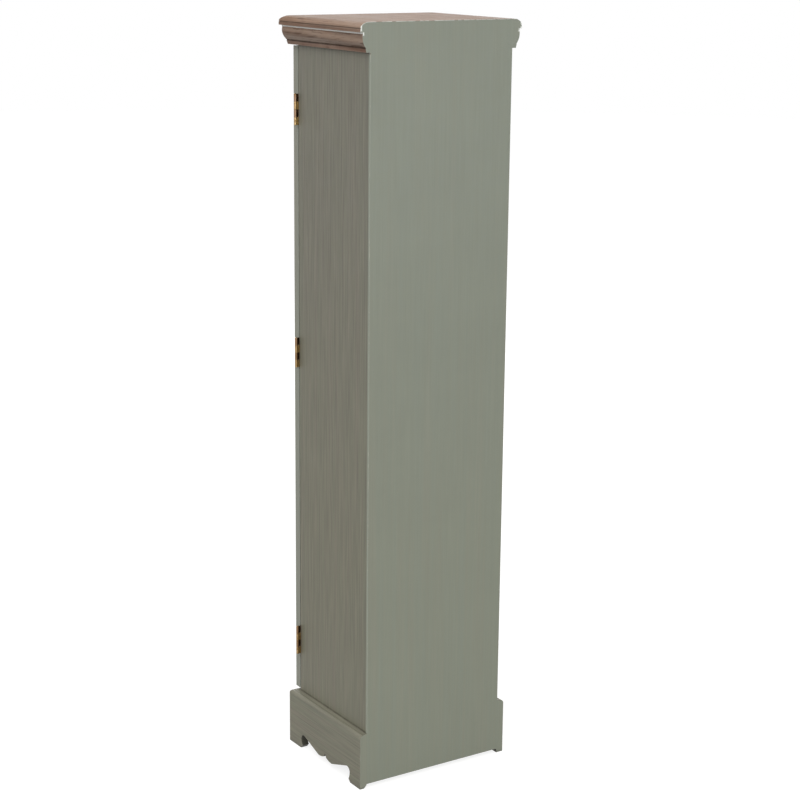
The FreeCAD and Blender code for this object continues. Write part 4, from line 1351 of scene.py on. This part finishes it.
    def top_steps(self) -> list[tuple[float, float]]:
        """Steps up the top's edge: the lip, the groove above it, then the rounding.

        Returns:
            How far each step lies inside the slab's outline, and its height.
        """
        nose = self.top_nose
        lip = self.places.top - self.top_round_height
        start = lip + self.groove_height
        height = self.top_round_height - self.groove_height
        width = self.top_round_width - self.nose_inset
        radius = (width ** 2 + height ** 2 - 2 * width * nose) / (2 * (height - nose))
        turn = math.atan2(radius - height, width - nose)
        half = self.round_steps // 2
        steps = [(0.0, lip), (self.groove_depth, lip), (self.groove_depth, start)]
        for step in range(half + 1):
            angle = turn * step / half
            steps.append((self.nose_inset + nose * (1.0 - math.cos(angle)), start + nose * math.sin(angle)))
        for step in range(1, half + 1):
            angle = turn + (math.pi / 2 - turn) * step / half
            inset = self.top_round_width - radius * math.cos(angle)
            steps.append((inset, self.places.top - radius * (1.0 - math.sin(angle))))
        return steps

    def top_timber(self) -> StainedTimber:
        """The top's finish: lime and painted sheen above, redder on its edge, painted shade on its lip, and
        painted shade and stain in the groove.

        Returns:
            The finish.
        """
        top = self.places.top
        lip = top - self.top_round_height
        stripes = (
            Settled(Grain.ALONG_Z, lip + self.edge_rise, self.edge_stain, 0.3, WALNUT_RED),
            # Painted sheen with lime: the top face paler.
            Settled(Grain.ALONG_Z, top, self.top_lime_and_sheen, 0.2, LIME_AND_SHEEN_PALE),
            # Painted shade: the lip along the slab's lower edge darker.
            Settled(Grain.ALONG_Z, self.places.slab_low, self.lip_shade, 0.45, BAND_SHADE_RED),
            # Painted shade with stain settled in it: a dark line in the groove.
            Settled(Grain.ALONG_Z, lip + self.groove_height / 2, self.groove_stain_and_shade, 0.55),
        )
        return StainedTimber("stained_top", Grain.ALONG_Y, (2.9, 0.6, 3.7), stripes, figure=0.1)


@dataclass
class Plinth(SubAssembly):
    """Three plinth boards with a scalloped lower edge, and what holds them."""

    edge_ease: float = 0.7 * MM
    toe_cut: float = 6.0 * MM
    scallop_height: float = 34.0 * MM
    ledge_low: float = 108.0 * MM
    ledge_slope: float = 0.25
    shade_width: float = 2.6 * MM
    shade_share: float = 0.75

    def build(self) -> None:
        """Builds the three boards and dresses the blocks and screws."""
        for side in SIDES:
            self.build_side(f"plinth_{side}")
        self.build_front()
        self.bench.dress(PINE_UPRIGHT, "plinth_corner_blocks")
        self.bench.dress(ZINC_PLATE, "plinth_screws")

    def paints(self, way: str, grain: Grain, across: Grain, carcass: float) -> tuple[BrushedPaint, ...]:
        """A board's finish, darker at its foot, and that of its ledge, with painted shade where it meets the
        carcass.

        Args:
            way: The way that the board runs, for the finishes' names.
            grain: The axis that its brush marks run along.
            across: The axis across the ledge.
            carcass: The place of the carcass on that axis.

        Returns:
            The finishes of the board and of the ledge.
        """
        # Painted shade in the corner where the ledge meets the carcass.
        joint_shade = Settled(across, carcass, self.shade_width, self.shade_share, DARK_STRIPE_TONE)
        looks = {"grain": grain, **STONE_BRUSH}
        board = BrushedPaint(f"stone_paint_{way}", **STONE_TONES, **looks, stripes=(FLOOR_DARKENING,))
        return board, BrushedPaint(f"stone_ledge_{way}", **LEDGE_TONES, **looks, stripes=(joint_shade,))

    def mark_ledge(self, shape: Shape) -> None:
        """Sets off the ledge on top of a board, with its rounded edge, whose darker tone is dust and painted
        shade.

        Args:
            shape: The board.
        """

        def on_ledge(face: Face) -> bool:
            """Whether a face is of the ledge or the rounded edge below it."""
            return face.normal.z > self.ledge_slope and face.verts[0].co.z > self.ledge_low

        mark(shape, Coat.TRIM, on_ledge)

    def mark_shaded_sawn(self, shape: Shape, through: int, inside: float) -> None:
        """Leaves the scallop's faces and the inner face of a board as dark sawn wood, its darkness painted
        shade under the cabinet.

        Args:
            shape: The board.
            through: The axis that the scallop is cut along.
            inside: Direction of the inner face on that axis, as a sign.
        """

        def shaded_sawn(face: Face) -> bool:
            """Whether a face is an inner face or one of the scallop's.

            Args:
                face: A face of the board.

            Returns:
                True for a face that is left dark, as sawn wood with painted shade.
            """
            if face.normal[through] * inside > FACING:
                return True
            low = max(vert.co.z for vert in face.verts) < self.scallop_height
            return low and abs(face.normal[through]) < ALONGSIDE

        mark(shape, Coat.ACCENT, shaded_sawn)

    def build_side(self, name: str) -> None:
        """Builds one side board, with its rear end in the back's colour. The right one has a cut toe.

        Args:
            name: The board's node.
        """
        places = self.places
        shape = self.bench.copy_of(name)

        def outline(edge: Edge) -> bool:
            """Whether an edge bounds the outer face or the rear end, away from the mitre and the carcass.

            Args:
                edge: An edge of the board.

            Returns:
                True for an edge that is eased.
            """
            ends = [vert.co for vert in edge.verts]
            if all(end.y < places.plinth_y + SAME_PLACE for end in ends):
                return False
            outer = all(close_to(abs(end.x), places.plinth_half) for end in ends)
            free = max(abs(end.x) for end in ends) > places.half_body + self.edge_ease
            return outer or (free and places.on_back(edge))

        def inner_toe(edge: Edge) -> bool:
            """Whether an edge is the inner lower edge of the rear foot.

            Args:
                edge: An edge of the board.

            Returns:
                True for that edge.
            """
            ends = [vert.co for vert in edge.verts]
            on_floor = all(close_to(end.z, 0.0) and close_to(abs(end.x), places.half_body) for end in ends)
            return on_floor and any(close_to(end.y, places.back_y) for end in ends)

        hand = math.copysign(1.0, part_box(name)[0].x)
        self.mark_shaded_sawn(shape, Grain.ALONG_X.value, -hand)
        if hand > 0.0:
            ease(shape, self.toe_cut, inner_toe, segments=1)
        ease(shape, self.edge_ease, outline)
        mark(shape, Coat.REAR,
             lambda face: face.normal.y > FACING and close_to(face.verts[0].co.y, places.back_y))
        self.mark_ledge(shape)
        board, ledge = self.paints("level", Grain.ALONG_Y, Grain.ALONG_X, places.half_body)
        self.bench.add_piece(f"{name}_eased", shape, (board, STONE_EDGE, BACK_PAINT, SHADED_SAWN_SIDE, ledge), name)

    def build_front(self) -> None:
        """Builds the front board."""
        places = self.places
        shape = self.bench.copy_of("plinth_front")

        def outline(edge: Edge) -> bool:
            """Whether an edge bounds the outer face, away from the mitres.

            Args:
                edge: An edge of the board.

            Returns:
                True for an edge that is eased.
            """
            ends = [vert.co for vert in edge.verts]
            if all(abs(end.x) > places.plinth_half - SAME_PLACE for end in ends):
                return False
            return all(close_to(end.y, places.plinth_y) for end in ends)

        self.mark_shaded_sawn(shape, Grain.ALONG_Y.value, 1.0)
        ease(shape, self.edge_ease, outline)
        self.mark_ledge(shape)
        board, ledge = self.paints("across", Grain.ALONG_X, Grain.ALONG_Y, -places.front_y)
        finishes = (board, STONE_EDGE, BACK_PAINT, SHADED_SAWN_FRONT, ledge)
        self.bench.add_piece("plinth_front_eased", shape, finishes, "plinth_front")


@dataclass
class Door(SubAssembly):
    """Framed door with its glass and glazing beads."""

    frame_ease: float = 0.6 * MM
    glass_ease: float = 0.4 * MM
    glass_play: float = 0.3 * MM
    rabbet: float = 10.0 * MM

    def build(self) -> None:
        """Builds the frame and the glass and dresses the beads and pins."""
        for name in ("door_stile_hinge", "door_stile_latch"):
            self.build_member(name, Grain.ALONG_Z, STILE_PAINT)
        for name in ("door_rail_top", "door_rail_bottom"):
            self.build_member(name, Grain.ALONG_X, ACROSS_PAINT)
        for level in LEVELS:
            self.build_member(f"door_bar_{level}", Grain.ALONG_X, ACROSS_PAINT)
        self.build_glass()
        self.bench.dress(STILE_PAINT, "glazing_bead_left", "glazing_bead_right")
        self.bench.dress(ACROSS_PAINT, "glazing_bead_top", "glazing_bead_bottom")
        self.bench.dress(ZINC_PLATE, "glazing_pins")

    def build_glass(self) -> None:
        """Builds the pane, with a little play all round."""
        shape = self.bench.copy_of("door_glass")
        low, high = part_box("door_glass")
        slim = [(side - 2.0 * self.glass_play) / side for side in high - low]
        bmesh.ops.scale(shape, vec=slim, space=Matrix.Translation((low + high) / -2), verts=shape.verts)
        ease(shape, self.glass_ease, lambda edge: True, segments=1, coat=Coat.FACE)
        self.bench.add_piece("door_glass_pane", shape, (WINDOW_GLASS,), "door_glass")

    def build_member(self, name: str, grain: Grain, paint: BrushedPaint) -> None:
        """Builds a stile, rail or bar with softened edges along its length.

        Args:
            name: The member's node.
            grain: The axis that it runs along.
            paint: Its finish.
        """
        places = self.places
        shape = self.bench.copy_of(name)

        def free_edge(edge: Edge) -> bool:
            """Whether an edge runs along the member and isn't a joint or a hinge's seat.

            Args:
                edge: An edge of the member.

            Returns:
                True for an edge that is softened.
            """
            if not runs_along(edge, grain):
                return False
            point = middle_of(edge)
            if grain is Grain.ALONG_X:
                return abs(point.x) < places.light_half / 2
            if close_to(abs(point.x), places.light_half):
                return not (close_to(point.y, places.door_front_y) or close_to(point.y, places.door_back_y))
            return abs(point.x) < places.light_half + self.rabbet or close_to(abs(point.x), places.half_body)

        ease(shape, self.frame_ease, free_edge)
        self.bench.add_piece(f"{name}_eased", shape, (paint, SAGE_EDGE), name)


@dataclass
class Hinges(SubAssembly):
    """Three butt hinges with their pins and screws."""

    knuckle_ease: float = 0.55 * MM
    arm_start: float = 0.5 * MM

    def build(self) -> None:
        """Builds the six leaves and dresses the pins and screws."""
        for place in HINGES:
            self.build_leaf(f"hinge_frame_leaf_{place}", DULL_BRASS, OLIVE_BRASS)
            self.build_leaf(f"hinge_door_leaf_{place}", ROSE_BRASS, SHADED_BLACK_BRASS)
            self.bench.dress(DULL_BRASS, f"hinge_pin_{place}")
        self.bench.dress(DULL_BRASS, "hinge_frame_screws", "hinge_door_screws")

    def build_leaf(self, name: str, metal: BrushedMetal, arm: BrushedMetal) -> None:
        """Builds a leaf with softened knuckles and darker arms: tarnish, and on the door leaves painted
        shade too.

        Args:
            name: The leaf's node.
            metal: Finish of the leaf and its knuckles.
            arm: Finish of the flat arms between the leaf and its knuckles.
        """
        shape = self.bench.copy_of(name)
        edge_x = self.places.half_body
        bmesh.ops.bisect_plane(shape, geom=all_of(shape), dist=MERGE_DISTANCE, plane_co=RIGHT * edge_x,
                               plane_no=RIGHT)

        def knuckle(edge: Edge) -> bool:
            """Whether an edge is on a knuckle, outside the cabinet."""
            return min(vert.co.x for vert in edge.verts) > edge_x + self.knuckle_ease

        def flat_arm(face: Face) -> bool:
            """Whether a face is the rear of an arm, outside the cabinet."""
            outside = face.calc_center_median().x > edge_x + self.arm_start
            return outside and face.normal.y > FACING and face.calc_area() > self.arm_start ** 2

        ease(shape, self.knuckle_ease, knuckle, coat=Coat.FACE)
        mark(shape, Coat.EDGE, flat_arm)
        self.bench.add_piece(f"{name}_eased", shape, (metal, arm), name)


@dataclass
class Knob(SubAssembly):
    """Turned brass knob on its backplate."""

    spin_steps: int = 56
    weld: float = 0.01 * MM
    head: tuple[tuple[float, float], ...] = (
        (5.6, 0.0), (5.6, 0.9), (4.9, 1.7), (4.3, 3.0), (4.7, 4.6), (6.6, 6.4), (9.8, 7.5), (11.6, 8.2),
        (12.0, 9.2), (11.6, 10.3), (10.3, 11.4), (9.5, 11.9), (8.9, 12.6), (6.4, 14.3), (3.2, 15.3),
        (0.0, 15.5),
    )
    plate: tuple[tuple[float, float], ...] = (
        (11.0, 0.0), (11.0, 0.7), (10.5, 1.25), (9.3, 1.35), (8.6, 1.1), (8.0, 1.35), (7.4, 1.9),
        (6.6, 2.0), (2.2, 2.0),
    )

    def build(self) -> None:
        """Builds the knob and its plate and dresses the screw."""
        self.build_turned("door_knob", self.head)
        self.build_turned("knob_backplate", self.plate)
        self.bench.dress(ZINC_PLATE, "knob_screw")

    def build_turned(self, node: str, section: Sequence[tuple[float, float]]) -> None:
        """Turns a section about the knob's axis.

        Args:
            node: The node that the piece replaces.
            section: Radius and height of each point in millimetres, from the seat outwards.
        """
        low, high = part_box(node)
        seat = Vector(((low.x + high.x) / 2, high.y, (low.z + high.z) / 2))
        shape = bmesh.new()
        chain = []
        for radius, height in section:
            chain.append(shape.verts.new(seat + (RIGHT * radius + FORWARD * height) * MM))
        for first, second in zip(chain, chain[1:]):
            shape.edges.new((first, second))
        bmesh.ops.spin(shape, geom=all_of(shape), cent=seat, axis=FORWARD, angle=2.0 * math.pi,
                       steps=self.spin_steps, use_merge=True)
        bmesh.ops.remove_doubles(shape, verts=shape.verts, dist=self.weld)
        fill_rims(shape)
        bmesh.ops.recalc_face_normals(shape, faces=shape.faces)
        self.bench.add_piece(f"{node}_turned", shape, (AGED_BRASS,), node)


@dataclass
class Catch(SubAssembly):
    """Magnetic catch, its strike plate and the soft bumpers."""

    case_ease: float = 0.8 * MM
    plate_ease: float = 0.3 * MM
    bumper_ease: float = 1.2 * MM

    def build(self) -> None:
        """Builds the case, the plate and the bumpers and dresses the rest."""
        self.build_soft_edged("catch_case", self.case_ease, CASE_PLASTIC)
        self.build_soft_edged("catch_strike_plate", self.plate_ease, ZINC_PLATE)
        self.build_bumpers()
        self.bench.dress(POLE_IRON, "catch_magnet")
        self.bench.dress(ZINC_PLATE, "catch_screws", "strike_screw")

    def build_soft_edged(self, name: str, width: float, finish: Finish) -> None:
        """Builds a small piece with its outer edges softened.

        Args:
            name: The piece's node.
            width: Reach of the softening.
            finish: Its finish.
        """
        low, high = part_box(name)
        shape = self.bench.copy_of(name)

        def outer(edge: Edge) -> bool:
            """Whether an edge lies on the outline of the node's box.

            Args:
                edge: An edge of the piece.

            Returns:
                True for an edge on the outline.
            """
            point = middle_of(edge)
            faces = 0
            for axis in range(3):
                faces += close_to(point[axis], low[axis]) or close_to(point[axis], high[axis])
            return faces >= 2

        ease(shape, width, outer, coat=Coat.FACE)
        self.bench.add_piece(f"{name}_softened", shape, (finish,), name)

    def build_bumpers(self) -> None:
        """Builds the two domed bumpers from their plain discs."""
        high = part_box("door_bumpers")[1]
        shape = self.bench.copy_of("door_bumpers")
        ease(shape, self.bumper_ease, lambda edge: close_to(middle_of(edge).y, high.y), segments=5,
             coat=Coat.FACE)
        self.bench.add_piece("door_bumpers_domed", shape, (BUMPER_RUBBER,), "door_bumpers")


@dataclass
class Lamp:
    """A soft square lamp that shines at the cabinet's middle."""

    name: str
    place: tuple[float, float, float]
    size: float
    power: float

    def build(self, target: Vector) -> None:
        """Sets the lamp up.

        Args:
            target: The point that it shines at.
        """
        light = bpy.data.lights.new(self.name, "AREA")
        light.shape = "SQUARE"
        light.size = self.size
        light.energy = self.power
        place = Vector(self.place)
        turn = (target - place).to_track_quat("-Z", "Y").to_matrix().to_4x4()
        put(self.name, light).matrix_world = Matrix.Translation(place) @ turn


@dataclass
class Overhead:
    """Wide even light from high above one side, as from a large ceiling of lamps."""

    towards: tuple[float, float, float] = (0.42, 0.12, 0.9)
    strength: float = 1.6
    spread: float = math.radians(60.0)

    def build(self) -> None:
        """Sets the light up."""
        light = bpy.data.lights.new("overhead_light", "SUN")
        light.energy = self.strength
        light.angle = self.spread
        turn = Vector(self.towards).to_track_quat("Z", "Y").to_matrix().to_4x4()
        put("overhead_light", light).matrix_world = turn


@dataclass
class Studio:
    """Pale floor, soft light and the camera."""

    target: Vector
    floor_radius: float = 14.0
    sky: float = 0.26
    floor_glow: float = 0.83
    overhead: Overhead = field(default_factory=Overhead)
    lamps: tuple[Lamp, ...] = (
        Lamp("key_lamp", (0.9, 3.8, 2.1), 2.4, 82.0),
        Lamp("side_lamp", (4.2, 1.0, 2.9), 2.4, 50.0),
        Lamp("front_lamp", (-1.8, -3.8, 2.8), 2.6, 100.0),
    )
    eye: tuple[float, float, float] = (2.0003, 3.0913, 1.6696)
    yaw: float = math.radians(33.029)
    pitch: float = math.radians(14.095)
    roll: float = math.radians(0.532)
    lens: float = 85.1
    sensor: float = 36.0

    def build(self) -> None:
        """Builds the floor, the world, the lamps and the camera."""
        self.build_floor()
        self.build_world()
        self.overhead.build()
        for lamp in self.lamps:
            lamp.build(self.target)
        self.build_camera()

    def build_floor(self) -> None:
        """Lays a wide round floor that shows near white and keeps the cabinet's shadow."""
        shape = bmesh.new()
        bmesh.ops.create_circle(shape, cap_ends=True, radius=self.floor_radius, segments=96)
        mesh = bpy.data.meshes.new("studio_floor")
        shape.to_mesh(mesh)
        shape.free()
        graph = ShaderGraph("studio_floor_matt")
        cloud = graph.noise(1.5, detail=2.0)
        graph.surface({
            "Base Color": graph.lift(FLOOR_GREY.linear(), graph.span(cloud, 0.99, 1.01)),
            "Roughness": 0.9,
            "Specular IOR Level": 0.0,
            "Emission Color": WHITE,
            "Emission Strength": graph.maths("MULTIPLY", graph.seen(), self.floor_glow),
        })
        mesh.materials.append(graph.material)
        floor = put("studio_floor", mesh)

    def build_world(self) -> None:
        """Surrounds the cabinet with even light, and with white where it is seen or mirrored."""
        world = bpy.data.worlds.new("studio_world")
        world.use_nodes = True
        graph = NodeGraph(world.node_tree)
        strength = graph.span(graph.seen(), self.sky, 1.0, 0.0, 1.0)
        background = graph.add("ShaderNodeBackground", {"Color": WHITE, "Strength": strength})
        graph.add("ShaderNodeOutputWorld", {"Surface": background.outputs["Background"]})
        bpy.context.scene.world = world

    def build_camera(self) -> None:
        """Sets the camera at the photograph's viewing angle."""
        forward = Vector((
            -math.sin(self.yaw) * math.cos(self.pitch),
            -math.cos(self.yaw) * math.cos(self.pitch),
            -math.sin(self.pitch),
        ))
        level = forward.cross(UP).normalized()
        plumb = level.cross(forward)
        right = level * math.cos(self.roll) + plumb * math.sin(self.roll)
        upward = plumb * math.cos(self.roll) - level * math.sin(self.roll)
        lens = bpy.data.cameras.new("photo_camera")
        lens.lens = self.lens
        lens.sensor_width = self.sensor
        camera = put("photo_camera", lens)
        turn = Matrix((right, upward, -forward)).transposed().to_4x4()
        camera.matrix_world = Matrix.Translation(self.eye) @ turn
        bpy.context.scene.camera = camera


def main() -> None:
    """Builds the cabinet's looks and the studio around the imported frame."""
    logging.basicConfig(level=logging.INFO, format="%(name)s: %(message)s")
    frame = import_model()
    bench = Bench(frame)
    places = Places.read()
    for kind in (Carcass, Crown, Plinth, Door, Hinges, Knob, Catch):
        kind(bench, places).build()
    Studio(UP * places.top / 2).build()
    bpy.context.scene.view_settings.view_transform = "Standard"


if __name__ == "__main__":
    main()
